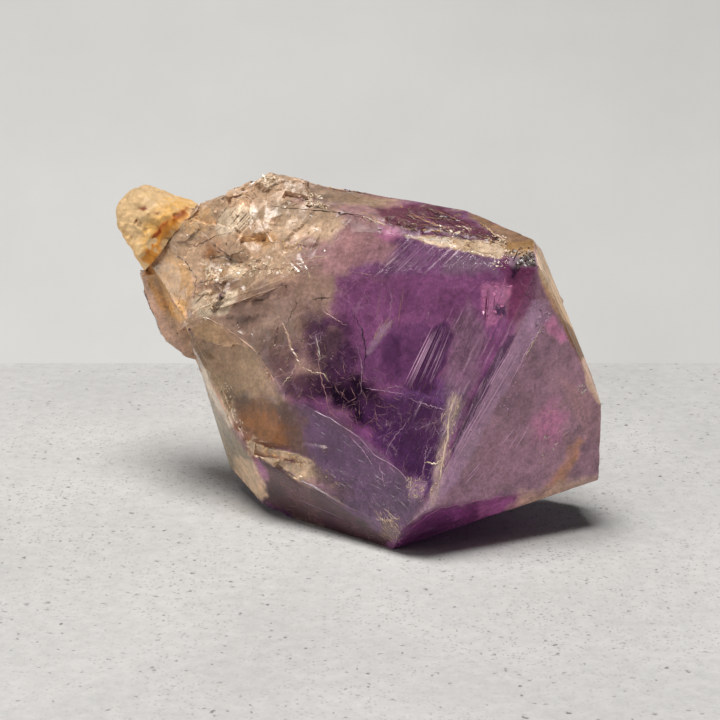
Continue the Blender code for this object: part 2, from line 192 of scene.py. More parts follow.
def value_noise(places, size, seed):
    """Smooth noise from -1 to 1: the values at the eight lattice corners, blended by 3t^2 - 2t^3."""
    scaled = places / size
    base = np.floor(scaled)
    blend = smooth(scaled - base)
    total = np.zeros(len(places))
    for corner in range(8):
        step = np.array([corner & 1, corner >> 1 & 1, corner >> 2 & 1])
        weight = np.prod(np.where(step == 1, blend, 1.0 - blend), axis=1)
        total += weight * cell_value(base + step, seed)
    return total


def rough_noise(places, size, seed, octaves=4):
    """Sum of value noise at halving sizes and halving heights, over 1.6 to stay near -1 to 1."""
    total = np.zeros(len(places))
    for octave in range(octaves):
        total += value_noise(places, size / 2**octave, seed + octave) / 2**octave
    return total / 1.6


def patches(places, size, seed, level, width):
    """Patches where noise passes a level: 0 up to it and 1 a width above it, with a smooth rise."""
    return smooth((rough_noise(places, size, seed) - level) / width)


def broken_grain(places, size, seed, slope, jitter=0.45, step=0.05):
    """Height of the nearest jittered lattice point's plane: offset dot tilt times slope, and a step."""
    scaled = places / size
    base = np.floor(scaled)
    near = np.full(len(places), math.inf)
    height = np.zeros(len(places))
    for corner in range(27):
        cell = base + np.array([corner % 3, corner // 3 % 3, corner // 9]) - 1.0
        shift = np.stack([cell_value(cell, seed + axis) for axis in range(3)], axis=1) * jitter
        tilt = np.stack([cell_value(cell, seed + 5 + axis) for axis in range(3)], axis=1)
        offset = scaled - cell - 0.5 - shift
        gap = np.linalg.norm(offset, axis=1)
        plane = (np.sum(offset * tilt, axis=1) * slope + cell_value(cell, seed + 9) * step) * size
        height = np.where(gap < near, plane, height)
        near = np.minimum(near, gap)
    return height


def weld(places, triangles, within=0.002):
    """Makes corners in the same spot one, and drops triangles that collapse."""
    keys = np.round(places / within).astype(np.int64)
    _, first, index = np.unique(keys, axis=0, return_index=True, return_inverse=True)
    triangles = index.reshape(-1)[triangles]
    a, b, c = triangles.T
    return places[first], triangles[(a != b) & (b != c) & (a != c)]


def merged_mesh(node_name):
    """The solid's corners in millimetres and its triangles, with doubled corners made one."""
    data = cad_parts[node_name].data
    places = np.empty(len(data.vertices) * 3)
    data.vertices.foreach_get("co", places)
    data.calc_loop_triangles()
    triangles = np.empty(len(data.loop_triangles) * 3, np.int32)
    data.loop_triangles.foreach_get("vertices", triangles)
    return weld(places.reshape(-1, 3) / MM, triangles.reshape(-1, 3))


def split_long(places, triangles, longest):
    """Halves every side over the limit, again and again: a triangle becomes two, three or four."""
    while True:
        sides = np.sort(triangles[:, [[0, 1], [1, 2], [2, 0]]].reshape(-1, 2), axis=1)
        once, index = np.unique(sides, axis=0, return_inverse=True)
        middle = places[once].mean(axis=1)
        long = np.linalg.norm(places[once[:, 0]] - places[once[:, 1]], axis=1) > longest(middle)
        if not long.any():
            return places, triangles
        added = np.full(len(once), -1)
        added[long] = len(places) + np.arange(long.sum())
        places = np.concatenate([places, middle[long]])
        middles = added[index.reshape(-1)].reshape(-1, 3)
        cuts = (middles >= 0).sum(axis=1)
        after_whole = (np.argmax(middles < 0, axis=1) + 1) % 3
        lone = np.where(cuts == 1, np.argmax(middles >= 0, axis=1), after_whole)
        turn = (lone[:, None] + np.arange(3)) % 3
        a, b, c = np.take_along_axis(triangles, turn, axis=1).T
        ab, bc, ca = np.take_along_axis(middles, turn, axis=1).T
        whole, one, two, three = (cuts == count for count in range(4))
        pieces = [triangles[whole]]
        pieces += [np.stack(corners, axis=1)[one] for corners in ((a, ab, c), (ab, b, c))]
        pieces += [np.stack(corners, axis=1)[two] for corners in ((ab, b, bc), (a, ab, bc), (a, bc, c))]
        four = ((a, ab, ca), (ab, b, bc), (ca, bc, c), (ab, bc, ca))
        pieces += [np.stack(corners, axis=1)[three] for corners in four]
        triangles = np.concatenate(pieces)


def triangle_normals(places, triangles):
    """Cross products of two sides, so their length is twice the area."""
    corners = places[triangles]
    return np.cross(corners[:, 1] - corners[:, 0], corners[:, 2] - corners[:, 0])


def corner_normals(places, triangles):
    """Mean of the triangle normals around each corner, weighted by area."""
    normals = triangle_normals(places, triangles)
    total = np.zeros_like(places)
    for column in range(3):
        np.add.at(total, triangles[:, column], normals)
    return unit(total)


def edge_sharpness(places, triangles, gain=3.4):
    """Gain times how far the triangles around a corner turn apart: 0 on a flat, 1 at an edge."""
    normals = unit(triangle_normals(places, triangles))
    total = np.zeros_like(places)
    count = np.zeros(len(places))
    for column in range(3):
        np.add.at(total, triangles[:, column], normals)
        np.add.at(count, triangles[:, column], 1)
    return np.clip((1.0 - np.linalg.norm(total, axis=1) / count) * gain, 0.0, 1.0)


def new_piece(name, places, faces, material, sharp=30.0):
    """A mesh object at the origin, from places in millimetres, smooth but for edges over an angle."""
    mesh = bpy.data.meshes.new(name)
    mesh.from_pydata((places * MM).tolist(), [], faces)
    mesh.materials.append(material)
    mesh.shade_smooth()
    mesh.set_sharp_from_angle(angle=math.radians(sharp))
    piece = bpy.data.objects.new(name, mesh)
    bpy.context.scene.collection.objects.link(piece)
    return piece


def paint(piece, name, values):
    """Stores one colour per corner of the mesh, for a material to read."""
    attribute = piece.data.color_attributes.new(name, "FLOAT_COLOR", "POINT")
    colors = np.ones((len(values), 4))
    colors[:, : values.shape[1]] = values
    attribute.data.foreach_set("color", colors.ravel())


# Colours as they look on the stone.
WHITE = tone(240, 232, 220)
CREAM = tone(226, 204, 176)
GOLD = tone(206, 168, 118)
SAND = tone(198, 168, 136)
TAN = tone(174, 144, 116)
AMBER = tone(190, 142, 84)
RUST = tone(142, 92, 50)
BROWN = tone(120, 90, 72)
UMBER = tone(84, 62, 54)
OLIVE = tone(132, 118, 96)
SMOKE = tone(146, 120, 104)
ROSE = tone(160, 120, 120)
MAUVE = tone(128, 96, 108)
LILAC = tone(152, 120, 142)
GREY = tone(116, 96, 104)
SLATE = tone(100, 80, 100)
PLUM = tone(124, 74, 112)
PURPLE = tone(100, 60, 96)
DEEP = tone(68, 38, 70)
NIGHT = tone(34, 14, 36)
WINE = tone(98, 48, 78)
PINK = tone(190, 116, 154)
PEACH = tone(220, 182, 160)
FAWN = tone(160, 134, 108)
HAZEL = tone(166, 126, 96)
HONEY = tone(198, 158, 114)
DUSK = tone(84, 56, 74)
VIOLET = tone(92, 60, 104)

# Colour zones in the picture: colour, clearness, strength, soft margin in pixels, outline.
ZONES = (
    (TAN * 1.18, 0.35, 1.0, 10, ((140, 160), (345, 170), (345, 225), (300, 275), (215, 318), (150, 370),
        (110, 280))),
    (ROSE, 0.4, 0.9, 14, ((300, 180), (400, 190), (400, 240), (385, 278), (300, 275), (290, 240))),
    (SMOKE * 0.94, 0.5, 1.0, 14, ((185, 318), (300, 270), (345, 278), (335, 312), (300, 345), (250, 360),
        (200, 370))),
    (PLUM * 0.94, 0.6, 1.0, 12, ((335, 278), (420, 276), (500, 270), (512, 330), (480, 400), (440, 480),
        (380, 480), (340, 420), (345, 330))),
    (FAWN * np.array([1.12, 1.08, 1.0]), 0.5, 1.0, 5, ((186, 322), (205, 316), (222, 325), (256, 352),
        (272, 378), (285, 402), (262, 420), (232, 418), (205, 372))),
    (BROWN * 0.46, 0.2, 0.95, 8, ((225, 392), (285, 398), (345, 425), (330, 470), (300, 456), (250, 446))),
    (SLATE * np.array([0.84, 0.7, 0.84]), 0.5, 1.0, 9, ((300, 402), (340, 422), (375, 452), (412, 484),
        (426, 504), (400, 545), (350, 520), (318, 480), (310, 450))),
    (MAUVE * 1.25, 0.5, 1.0, 4, ((537, 262), (600, 400), (602, 480), (520, 494), (440, 508), (412, 522),
        (470, 430), (500, 370))),
    (UMBER * np.array([0.46, 0.4, 0.5]), 0.3, 0.95, 4, ((250, 446), (300, 480), (330, 497), (392, 540),
        (380, 552), (330, 535), (262, 500), (268, 470))),
    (OLIVE * 1.2, 0.4, 1.0, 2, ((196, 362), (212, 400), (228, 428), (250, 458), (266, 486), (262, 500),
        (232, 480), (205, 410), (186, 360))),
    (SAND * 1.02, 0.25, 0.95, 2, ((234, 456), (250, 462), (264, 480), (268, 495), (255, 498), (234, 480))),
    # Painted highlight: a bright cream line along the clear face's left edge.
    (CREAM * 1.2, 0.3, 1.0, 1.2, ((200, 366), (208, 372), (222, 398), (234, 428), (229, 428), (217, 406),
        (204, 384))),
    (DEEP * 0.6, 0.6, 0.85, 12, ((308, 312), (322, 310), (346, 326), (359, 346), (359, 386), (330, 380),
        (314, 370), (302, 356))),
    (DUSK * 0.54, 0.6, 0.9, 5, ((300, 372), (322, 375), (328, 398), (300, 400), (284, 392), (280, 378))),
    (NIGHT * 0.6, 0.6, 1.0, 9, ((322, 376), (345, 381), (360, 374), (374, 392), (388, 404), (384, 424),
        (362, 432), (344, 412), (322, 400))),
    (VIOLET, 0.6, 0.9, 7, ((384, 396), (440, 380), (470, 390), (446, 440), (432, 500), (404, 472),
        (376, 440))),
    (DEEP, 0.6, 0.8, 6, ((360, 400), (404, 396), (440, 404), (444, 440), (432, 480), (404, 472),
        (376, 446))),
    (PURPLE, 0.6, 0.9, 4, ((396, 326), (425, 322), (432, 330), (404, 388), (392, 386))),
    (PURPLE, 0.5, 0.8, 1.5, ((365, 352), (383, 325), (393, 321), (398, 336), (390, 368), (386, 386),
        (368, 384), (362, 372))),
    (LILAC * 0.8, 0.4, 0.8, 1.0, ((366, 351), (376, 334), (383, 325), (393, 321), (388, 332), (376, 346),
        (368, 356))),
    (DEEP * 0.9, 0.6, 0.7, 5, ((384, 348), (394, 334), (406, 340), (400, 364), (396, 380), (385, 383),
        (381, 362))),
    (DEEP, 0.6, 0.95, 2, ((404, 388), (432, 330), (446, 320), (452, 334), (446, 362), (430, 396))),
    (GREY, 0.5, 0.6, 6, ((452, 330), (470, 300), (486, 330), (478, 380), (458, 420), (440, 420),
        (446, 380))),
    (DEEP, 0.6, 0.9, 2, ((508, 336), (516, 334), (496, 372), (480, 404), (464, 440), (450, 472),
        (452, 448), (470, 404), (486, 370))),
    (WINE * 1.2, 0.6, 0.9, 5, ((500, 262), (532, 262), (536, 300), (522, 322), (506, 322), (508, 290))),
    (PINK, 0.5, 0.5, 2, ((482, 286), (497, 281), (512, 285), (510, 298), (500, 307), (497, 325),
        (487, 325), (481, 305))),
    (DEEP, 0.5, 1.0, 1.5, ((494, 306), (505, 305), (506, 314), (500, 318), (495, 314))),
    (NIGHT, 0.5, 0.9, 1.5, ((511, 277), (512, 268), (520, 264), (520, 268), (515, 279))),
    (LILAC, 0.5, 0.8, 2, ((520, 325), (533, 299), (548, 303), (550, 320), (541, 325), (535, 340),
        (524, 336))),
    (MAUVE * 1.02, 0.4, 0.8, 4, ((538, 338), (552, 338), (568, 346), (584, 372), (560, 380), (520, 376),
        (528, 352))),
    (PINK * 1.1, 0.1, 0.9, 2.5, ((542, 323), (552, 317), (558, 323), (567, 341), (561, 343), (549, 335))),
    (LILAC, 0.45, 0.85, 2, ((535, 298), (546, 318), (530, 345), (515, 374), (500, 402), (482, 436),
        (458, 480), (430, 512), (412, 520), (430, 500), (460, 440), (480, 405), (500, 367), (520, 330))),
    (MAUVE * 0.95, 0.5, 0.8, 8, ((506, 400), (524, 380), (530, 420), (516, 470), (490, 480), (484, 450))),
    (PINK * 0.7, 0.3, 0.85, 10, ((534, 412), (552, 402), (566, 420), (560, 442), (538, 440))),
    (HAZEL * np.array([1.1, 0.92, 0.88]), 0.3, 0.85, 4, ((584, 438), (577, 438), (561, 468), (546, 487),
        (562, 487), (575, 460))),
    (ROSE * 1.2, 0.5, 0.6, 6, ((560, 380), (596, 396), (600, 440), (586, 436), (572, 410))),
    (MAUVE * 1.1, 0.5, 0.7, 8, ((586, 400), (603, 404), (603, 480), (590, 478))),
    (PURPLE * 1.15, 0.5, 0.9, 4, ((385, 278), (350, 276), (346, 262), (376, 240), (405, 236), (470, 244),
        (506, 256), (500, 272))),
    (LILAC * 0.66, 0.4, 0.7, 5, ((440, 276), (452, 252), (500, 258), (496, 272))),
    (ROSE * 1.08, 0.5, 0.8, 5, ((345, 238), (380, 236), (400, 246), (384, 262), (345, 268), (330, 262))),
    (PINK * 0.85, 0.5, 0.8, 3.5, ((374, 234), (384, 220), (402, 230), (404, 238), (384, 240))),
    (ROSE * 0.8, 0.5, 0.8, 3, ((350, 214), (378, 224), (384, 234), (362, 234), (344, 226))),
    (WINE * np.array([0.95, 0.74, 0.62]), 0.3, 0.9, 3, ((370, 206), (410, 205), (440, 206), (480, 226),
        (508, 242), (470, 240), (410, 232), (388, 222))),
    (SAND * 0.95, 0.1, 1.0, 1.2, ((400, 235), (438, 237), (470, 240), (510, 242), (507, 250), (502, 259),
        (470, 253), (440, 247))),
    (HAZEL * 0.62, 0.12, 1.0, 3, ((470, 210), (536, 238), (538, 244), (512, 246), (504, 240), (484, 226),
        (466, 214))),
    (AMBER * 0.62, 0.08, 1.0, 2, ((505, 243), (536, 241), (536, 250), (522, 256), (508, 256))),
    (UMBER * np.array([0.4, 0.25, 0.2]), 0.0, 1.0, 1.5, ((514, 262), (524, 254), (534, 250), (536, 266),
        (530, 268))),
    (TAN * 0.85, 0.3, 0.9, 3, ((280, 176), (330, 188), (380, 197), (400, 202), (372, 208), (330, 203),
        (290, 197))),
    # Painted light: the thin sliver along the upper right edge is painted pale sand and, at its end,
    # peach, nearly opaque, for the light seen through it and falling on it.
    (SAND * 1.2, 0.04, 1.0, 1.2, ((536, 240), (547, 258), (562, 285), (586, 335), (594, 368), (584, 362),
        (562, 322), (549, 300), (538, 272))),
    (HAZEL, 0.25, 0.9, 1.0, ((538, 272), (552, 296), (565, 318), (570, 328), (560, 322), (547, 300))),
    (RUST * 0.5, 0.05, 1.0, 1.5, ((562, 318), (572, 328), (584, 346), (592, 364), (582, 362), (566, 338))),
    (PEACH * 1.5, 0.04, 1.0, 1.2, ((582, 358), (598, 364), (608, 410), (597, 402), (587, 384))),
    (SAND * 1.05, 0.4, 0.9, 5, ((262, 205), (330, 206), (345, 222), (330, 240), (282, 240), (258, 230))),
    (CREAM, 0.25, 0.9, 1.2, ((214, 226), (222, 209), (240, 205), (259, 212), (254, 222), (236, 232),
        (222, 236))),
    (HONEY * 1.35, 0.3, 0.8, 2, ((188, 214), (208, 206), (214, 222), (200, 236), (184, 232))),
    (HAZEL * 1.2, 0.35, 0.7, 4, ((202, 236), (222, 236), (226, 250), (214, 262), (200, 258))),
    (RUST, 0.35, 0.8, 3, ((206, 246), (216, 248), (214, 260), (206, 260))),
    (AMBER * 0.72, 0.35, 0.8, 4, ((238, 234), (262, 232), (277, 240), (268, 248), (244, 246))),
    (HONEY * 0.7, 0.3, 0.8, 2, ((202, 264), (224, 262), (226, 282), (206, 284))),
    (CREAM * np.array([1.0, 0.96, 0.85]), 0.25, 0.9, 1.5, ((228, 266), (238, 262), (246, 268), (242, 276),
        (230, 276))),
    (BROWN, 0.35, 0.7, 2.5, ((194, 286), (212, 280), (240, 279), (236, 290), (200, 294))),
    (CREAM * 0.86, 0.3, 0.95, 1.2, ((190, 300), (204, 291), (236, 290), (238, 300), (226, 314),
        (198, 316))),
    (SMOKE, 0.35, 0.7, 4, ((250, 286), (274, 284), (282, 300), (262, 306))),
    (SMOKE, 0.45, 0.8, 5, ((208, 318), (240, 322), (282, 324), (262, 344), (240, 338))),
    (UMBER * 1.3, 0.5, 0.6, 6, ((244, 338), (282, 326), (300, 362), (282, 388), (262, 356))),
    (HONEY * 0.92, 0.25, 0.9, 1.5, ((168, 250), (173, 250), (186, 264), (193, 276), (195, 286),
        (190, 297), (166, 300), (155, 286), (158, 264))),
    (AMBER * 1.8, 0.1, 0.9, 3, ((140, 262), (152, 262), (156, 286), (164, 300), (190, 300), (184, 322),
        (164, 312), (148, 290))),
    (PEACH * 1.7, 0.1, 0.9, 2, ((138, 268), (146, 272), (150, 292), (166, 322), (184, 346), (196, 362),
        (186, 360), (164, 344), (144, 296))),
    (RUST * np.array([0.7, 0.66, 0.52]), 0.06, 0.92, 12, ((238, 412), (262, 404), (284, 428), (284, 446),
        (262, 448), (244, 436))),
    (SAND * 0.72, 0.2, 1.0, 1.0, ((247, 440), (264, 447), (298, 454), (312, 460), (318, 476), (300, 482),
        (280, 470), (262, 458), (248, 455))),
    (SMOKE * 0.52, 0.35, 0.8, 4, ((306, 462), (318, 464), (326, 474), (330, 484), (314, 482))),
    (UMBER, 0.45, 0.5, 6, ((326, 478), (350, 484), (352, 500), (332, 500))),
    (CREAM * 0.9, 0.4, 0.34, 3, ((446, 400), (458, 394), (462, 404), (453, 420), (449, 444), (444, 470),
        (438, 504), (429, 508), (433, 480), (440, 442), (446, 416))),
    (LILAC * 0.92, 0.35, 0.8, 3, ((406, 484), (414, 478), (426, 482), (424, 496), (414, 500))),
    (SMOKE * 0.42, 0.35, 0.7, 3, ((382, 520), (392, 518), (400, 534), (392, 544), (380, 536))),
    # Painted shade and glow on the underside: dark purple near the floor, then pink and a bright peach
    # strip towards the tip for light coming through the stone.
    (WINE * np.array([1.15, 1.1, 1.5]), 0.45, 1.0, 3, ((396, 549), (414, 524), (440, 508), (480, 500),
        (520, 494), (520, 512), (460, 532))),
    (NIGHT * 2.0, 0.4, 0.6, 5, ((394, 550), (410, 532), (440, 516), (462, 524), (430, 540))),
    (PINK * np.array([1.1, 1.0, 1.3]), 0.5, 0.6, 5, ((478, 504), (516, 496), (530, 500), (500, 516),
        (478, 520))),
    (PEACH * 1.8, 0.1, 1.0, 8, ((524, 497), (560, 487), (600, 480), (598, 484), (540, 506), (512, 514))),
)

# Steps that are healed over in the picture: how far over the rim in mm, outline, three places on the rim.
HEALED = (
    (0.35, ((252, 437), (326, 446), (326, 477), (300, 484), (262, 462), (250, 457)), ((251, 438),
        (318, 447), (292, 486))),
    (0.0, ((186, 322), (196, 310), (215, 299), (240, 294), (265, 285), (290, 276), (308, 270), (308, 300),
        (262, 346), (226, 346), (196, 338)), ((214, 304), (290, 283), (245, 347))),
)

# How strong the fine veins are, in the picture: strength, soft margin, outline.
VEINED = (
    (1.0, 8, ((290, 340), (340, 330), (400, 376), (460, 380), (440, 450), (380, 450), (330, 420),
        (284, 400))),
    (0.05, 8, ((226, 392), (284, 398), (304, 446), (250, 450), (228, 424))),
    (0.35, 8, ((310, 414), (350, 430), (414, 488), (400, 540), (330, 490))),
    (0.2, 6, ((380, 282), (500, 276), (480, 320), (390, 320))),
)

# How broken the grain is, in the picture: strength, soft margin, outline.
BROKEN = (
    (0.45, 9, ((150, 180), (270, 165), (345, 185), (350, 215), (325, 252), (290, 262), (235, 288),
        (196, 300), (196, 262), (165, 262), (160, 220))),
    (1.0, 3, ((226, 196), (262, 172), (292, 182), (284, 192), (250, 192), (230, 204))),
    (1.0, 3, ((298, 190), (326, 194), (330, 210), (302, 208))),
    (0.9, 3, ((180, 214), (212, 200), (216, 226), (196, 244), (178, 238))),
    (1.0, 3, ((200, 256), (262, 256), (270, 270), (246, 286), (204, 288))),
    (1.0, 3, ((276, 234), (308, 238), (306, 254), (280, 254))),
    (0.3, 4, ((345, 196), (440, 200), (540, 238), (530, 244), (505, 244), (400, 234), (350, 222))),
    (0.22, 2, ((404, 236), (440, 238), (508, 242), (504, 256), (470, 250), (440, 244))),
    (0.6, 3, ((248, 440), (265, 446), (300, 453), (316, 474), (330, 486), (300, 484), (250, 456))),
    (0.35, 6, ((190, 300), (290, 300), (300, 350), (280, 400), (250, 350))),
    (0.3, 3, ((482, 284), (512, 284), (508, 320), (486, 326))),
)

# Where the skin is dull, in the picture: outlines.
DULL = (
    ((508, 244), (540, 244), (540, 270), (512, 270)),
    ((350, 212), (376, 214), (378, 232), (352, 232)),
    ((538, 246), (556, 262), (600, 372), (582, 362), (548, 296)),
    ((232, 396), (286, 398), (290, 450), (244, 446)),
    ((302, 434), (336, 434), (336, 458), (302, 456)),
    ((578, 354), (600, 364), (610, 410), (592, 400)),
)

# Where the skin is lined in the picture: the striated band and the clear face.
BAND = ((372, 276), (402, 240), (508, 256), (496, 272))
CLEAR_FACE = ((400, 390), (440, 300), (520, 330), (440, 500))

# Two spots along the band's lines in the picture, then two along the clear face's lines.
GROWTH_SPOTS = ((385, 278), (425, 240), (405, 388), (438, 320))


def inside_share(across, down, outline, soft):
    """1 in an outline and 0 out of it, by the distance to its nearest side over a soft margin."""
    start = np.array(outline, float)
    way = np.roll(start, -1, axis=0) - start
    dx = across[:, None] - start[:, 0]
    dy = down[:, None] - start[:, 1]
    along = np.clip((dx * way[:, 0] + dy * way[:, 1]) / np.sum(way**2, axis=1), 0.0, 1.0)
    gap = np.hypot(dx - along * way[:, 0], dy - along * way[:, 1]).min(axis=1)
    rise = np.where(way[:, 1] == 0.0, 1e-9, way[:, 1])
    spans = (start[:, 1] > down[:, None]) != (start[:, 1] + way[:, 1] > down[:, None])
    crossings = np.sum(spans & (dx < dy * way[:, 0] / rise), axis=1)
    return smooth(0.5 + np.where(crossings % 2 == 1, gap, -gap) / (2.0 * soft))


class Zoning:
    """Places of the skin as the picture shows them, for painting zones on the side that faces it.

    Facing is 5 times the cosine to the eye, plus 0.35, held from 0 to 1 by 3t^2 - 2t^3. A zone's edge
    strays by a noise of 1.9 mm.
    """

    def __init__(self, places, normals):
        self.places = places
        self.across, self.down = picture_places(places)
        self.facing = smooth(np.sum(normals * unit(EYE - places), axis=1) * 5.0 + 0.35)
        self.stray = np.stack([rough_noise(places, 1.9, seed) for seed in (11, 17)], axis=1)

    def share(self, outline, soft):
        """How much of each place a zone takes; its edge strays 1.4 pixels and 0.9 of its soft margin."""
        spots = np.array(outline, float)
        reach = 2.5 * soft + 3.0
        low, high = spots.min(axis=0) - reach, spots.max(axis=0) + reach
        near = (self.across > low[0]) & (self.across < high[0]) & (self.facing > 0.0)
        near &= (self.down > low[1]) & (self.down < high[1])
        strayed = self.stray[near] * (0.9 * soft + 1.4)
        across, down = self.across[near] + strayed[:, 0], self.down[near] + strayed[:, 1]
        share = np.zeros(len(self.places))
        share[near] = inside_share(across, down, outline, soft) * self.facing[near]
        return share


def filled(places, zoning, lift, outline, rim, deepest=3.0):
    """Places sunk under a plane a lift over three rim places are brought out to it, in an outline."""
    inward = unit(np.cross(rim[1] - rim[0], rim[2] - rim[0]))
    depth = (places - rim[0]) @ inward + lift
    within = inside_share(zoning.across, zoning.down, outline, 0.5) > 0.5
    sunk = np.where(within & (depth > 0.0) & (depth < deepest), depth, 0.0)
    return places - sunk[:, None] * inward


def root_share(places):
    """0 in the crystal's body and 1 at its broken root end: distance along the root's way, 2 to 11 mm."""
    return smooth(((places - ROOT_START) @ ROOT_WAY - 2.0) / 9.0)


def skin_step(places):
    """Longest side of the skin's triangles: 0.55 mm, and 0.8 more from 6 to 14 mm behind the middle."""
    return 0.55 + 0.8 * smooth(((places - MIDDLE) @ FORWARD - 6.0) / 8.0)


def nub_step(places):
    """Longest side of the nub's triangles: 0.3 mm all over."""
    return np.full(len(places), 0.3)


def held(colors):
    """Colours kept under full brightness by scaling, so their hue stays."""
    return colors / np.maximum(colors.max(axis=-1, keepdims=True) / BRIGHTEST, 1.0)


def mixed(colors, color, share):
    """Colours taken towards another one, by a share for each place."""
    return colors + (color - colors) * share[:, None]


def light_on(normals, clear):
    """Light that a face gets from lamps, room and floor, and from behind where it is clear."""
    lamp = LAMP_SHARE * np.clip(normals @ unit(np.array(LAMP_PLACE)), 0.0, 1.0)
    side = FILL_SHARE * np.clip(normals @ unit(np.array(FILL_PLACE)), 0.0, 1.0)
    room = ROOM_SHARE * (1.0 + normals[..., 2]) + FLOOR_SHARE * (1.0 - normals[..., 2])
    return (1.0 - clear) * (lamp + side + room) + clear * THROUGH_SHARE


def body_colors(zoning):
    """Colour and clearness: the body's own, changing along it in mm, its patches, then the zones.

    The body is smoky at its root, purple from 6 to 26 mm along and paler from 46 to 60 mm.
    """
    places = zoning.places
    warped = places + np.stack([rough_noise(places, 9.0, 11 + k) for k in range(3)], axis=1) * 3.5
    along = (warped - BODY_START) @ BODY_WAY
    colors = mixed(TAN, PLUM, smooth((along - 6.0) / 20.0))
    colors = mixed(colors, MAUVE, smooth((along - 46.0) / 14.0) * 0.8)
    dark = patches(places, 14.0, 91, 0.05, 0.35)
    colors = mixed(colors, DEEP, dark * smooth((along - 8.0) / 14.0) * 0.8)
    colors = mixed(colors, SAND, patches(places, 8.0, 95, 0.15, 0.4) * 0.6)
    colors = mixed(colors, RUST, patches(places, 10.0, 99, 0.25, 0.25) * 0.5)
    clear = np.full(len(places), 0.5)
    for color, zone_clear, strength, soft, outline in ZONES:
        share = zoning.share(outline, soft) * strength
        colors = mixed(colors, color, share)
        clear = clear + (zone_clear - clear) * share
    return colors, clear


def material_with(name, roughness=0.3, **sockets):
    """A new material, its node tree and its one shader, with plain numbers on its own sockets."""
    material = bpy.data.materials.new(name)
    material.use_nodes = True
    tree = material.node_tree
    shader = tree.nodes["Principled BSDF"]
    shader.inputs["Roughness"].default_value = roughness
    for label, value in sockets.items():
        shader.inputs[label.replace("_", " ")].default_value = value
    return material, tree, shader


def node(tree, kind, inputs=None, **settings):
    """A shader node with its settings, and its inputs given as numbers or as other nodes' outputs."""
    made = tree.nodes.new("ShaderNode" + kind)
    for label, value in settings.items():
        setattr(made, label, value)
    for label, value in (inputs or {}).items():
        socket = made.inputs[label]
        if isinstance(value, bpy.types.NodeSocket):
            tree.links.new(value, socket)
        else:
            socket.default_value = value
    return made


def own_place(tree):
    """The object's own coordinates, in metres."""
    return node(tree, "TexCoord").outputs["Object"]


def painted(tree, name):
    """The colours that a piece's corners were given under a name, and their fourth number."""
    return node(tree, "VertexColor", layer_name=name).outputs


def math_node(tree, operation, *values):
    """A Math node's output, from numbers or other outputs."""
    return node(tree, "Math", dict(enumerate(values)), operation=operation).outputs[0]


def times(tree, first, *others):
    """The product of numbers or outputs."""
    for other in others:
        first = math_node(tree, "MULTIPLY", first, other)
    return first


def largest(tree, first, *others):
    """The largest of numbers or outputs."""
    for other in others:
        first = math_node(tree, "MAXIMUM", first, other)
    return first


def vector_node(tree, operation, first, second, output=0):
    """A Vector Math node's output, from two vectors or outputs."""
    return node(tree, "VectorMath", {0: first, 1: second}, operation=operation).outputs[output]


def ramp(tree, value, low, high, start=0.0, end=1.0):
    """A value taken from one range to another, held at its ends."""
    return node(tree, "MapRange", {"Value": value, "From Min": low, "From Max": high, "To Min": start,
                                   "To Max": end}).outputs[0]


def blend(tree, factor, first, second):
    """A colour between two by a factor."""
    mix = node(tree, "Mix", data_type="RGBA")
    for socket, value in ((mix.inputs[0], factor), (mix.inputs[6], first), (mix.inputs[7], second)):
        if isinstance(value, bpy.types.NodeSocket):
            tree.links.new(value, socket)
        else:
            socket.default_value = (*value, 1.0)
    return mix.outputs[2]


def growth_wave(tree, place, direction, scale, low, high):
    """Lines of growth: noise of one number, the distance along a direction, cut between two levels."""
    distance = vector_node(tree, "DOT_PRODUCT", place, direction, "Value")
    noise = node(tree, "TexNoise", {"W": distance, "Scale": scale, "Detail": 4.0, "Roughness": 0.7},
                 noise_dimensions="1D")
    return ramp(tree, noise.outputs[0], low, high)


def parts_of(tree, color):
    """The red, green and blue of a colour output."""
    split = node(tree, "SeparateColor", {"Color": color})
    return [split.outputs[k] for k in range(3)]


def facets(tree, place, scale):
    """Broken grain: the height of a tilted plane per cell, and one number per cell."""
    cells = node(tree, "TexVoronoi", {"Vector": place, "Scale": scale, "Randomness": 1.0}, feature="F1")
    offset = vector_node(tree, "SUBTRACT", place, cells.outputs["Position"])
    tilt = vector_node(tree, "SUBTRACT", cells.outputs["Color"], (0.5, 0.5, 0.5))
    value = parts_of(tree, cells.outputs["Color"])[1]
    return vector_node(tree, "DOT_PRODUCT", offset, tilt, "Value"), value


def turned(tree, place, ways, scales):
    """A place measured along three directions, each with its own scale."""
    parts = {k: vector_node(tree, "DOT_PRODUCT", place, [float(v) * scale for v in way], "Value")
             for k, (way, scale) in enumerate(zip(ways, scales))}
    return node(tree, "CombineXYZ", parts).outputs[0]


def noise_of(tree, place, scale, detail=4.0, rough=0.6, distortion=0.0):
    """A noise texture's value."""
    return node(tree, "TexNoise", {"Vector": place, "Scale": scale, "Detail": detail, "Roughness": rough,
                                   "Distortion": distortion}).outputs[0]


def bent(tree, place, scale, detail, reach):
    """A place moved by a coloured noise times a reach in metres."""
    swirl = node(tree, "TexNoise", {"Vector": place, "Scale": scale, "Detail": detail}).outputs["Color"]
    return vector_node(tree, "ADD", place, vector_node(tree, "MULTIPLY", swirl, reach))


def vein(tree, place, scale, width, mask):
    """Thin angular lines along the borders of cells, kept where a mask allows."""
    cells = node(tree, "TexVoronoi", {"Vector": place, "Scale": scale}, feature="DISTANCE_TO_EDGE")
    return times(tree, ramp(tree, cells.outputs["Distance"], width * 0.3, width, 1.0, 0.0), mask)


def dots(tree, place, scale, pick, margin, inner, outer, **settings):
    """Round dots at the cells whose number passes a pick: 1 inside the inner radius, 0 past the outer."""
    cells = node(tree, "TexVoronoi", {"Vector": place, "Scale": scale}, feature="F1", **settings)
    picked = ramp(tree, parts_of(tree, cells.outputs["Color"])[0], pick, pick + margin)
    return times(tree, ramp(tree, cells.outputs["Distance"], inner, outer, 1.0, 0.0), picked)


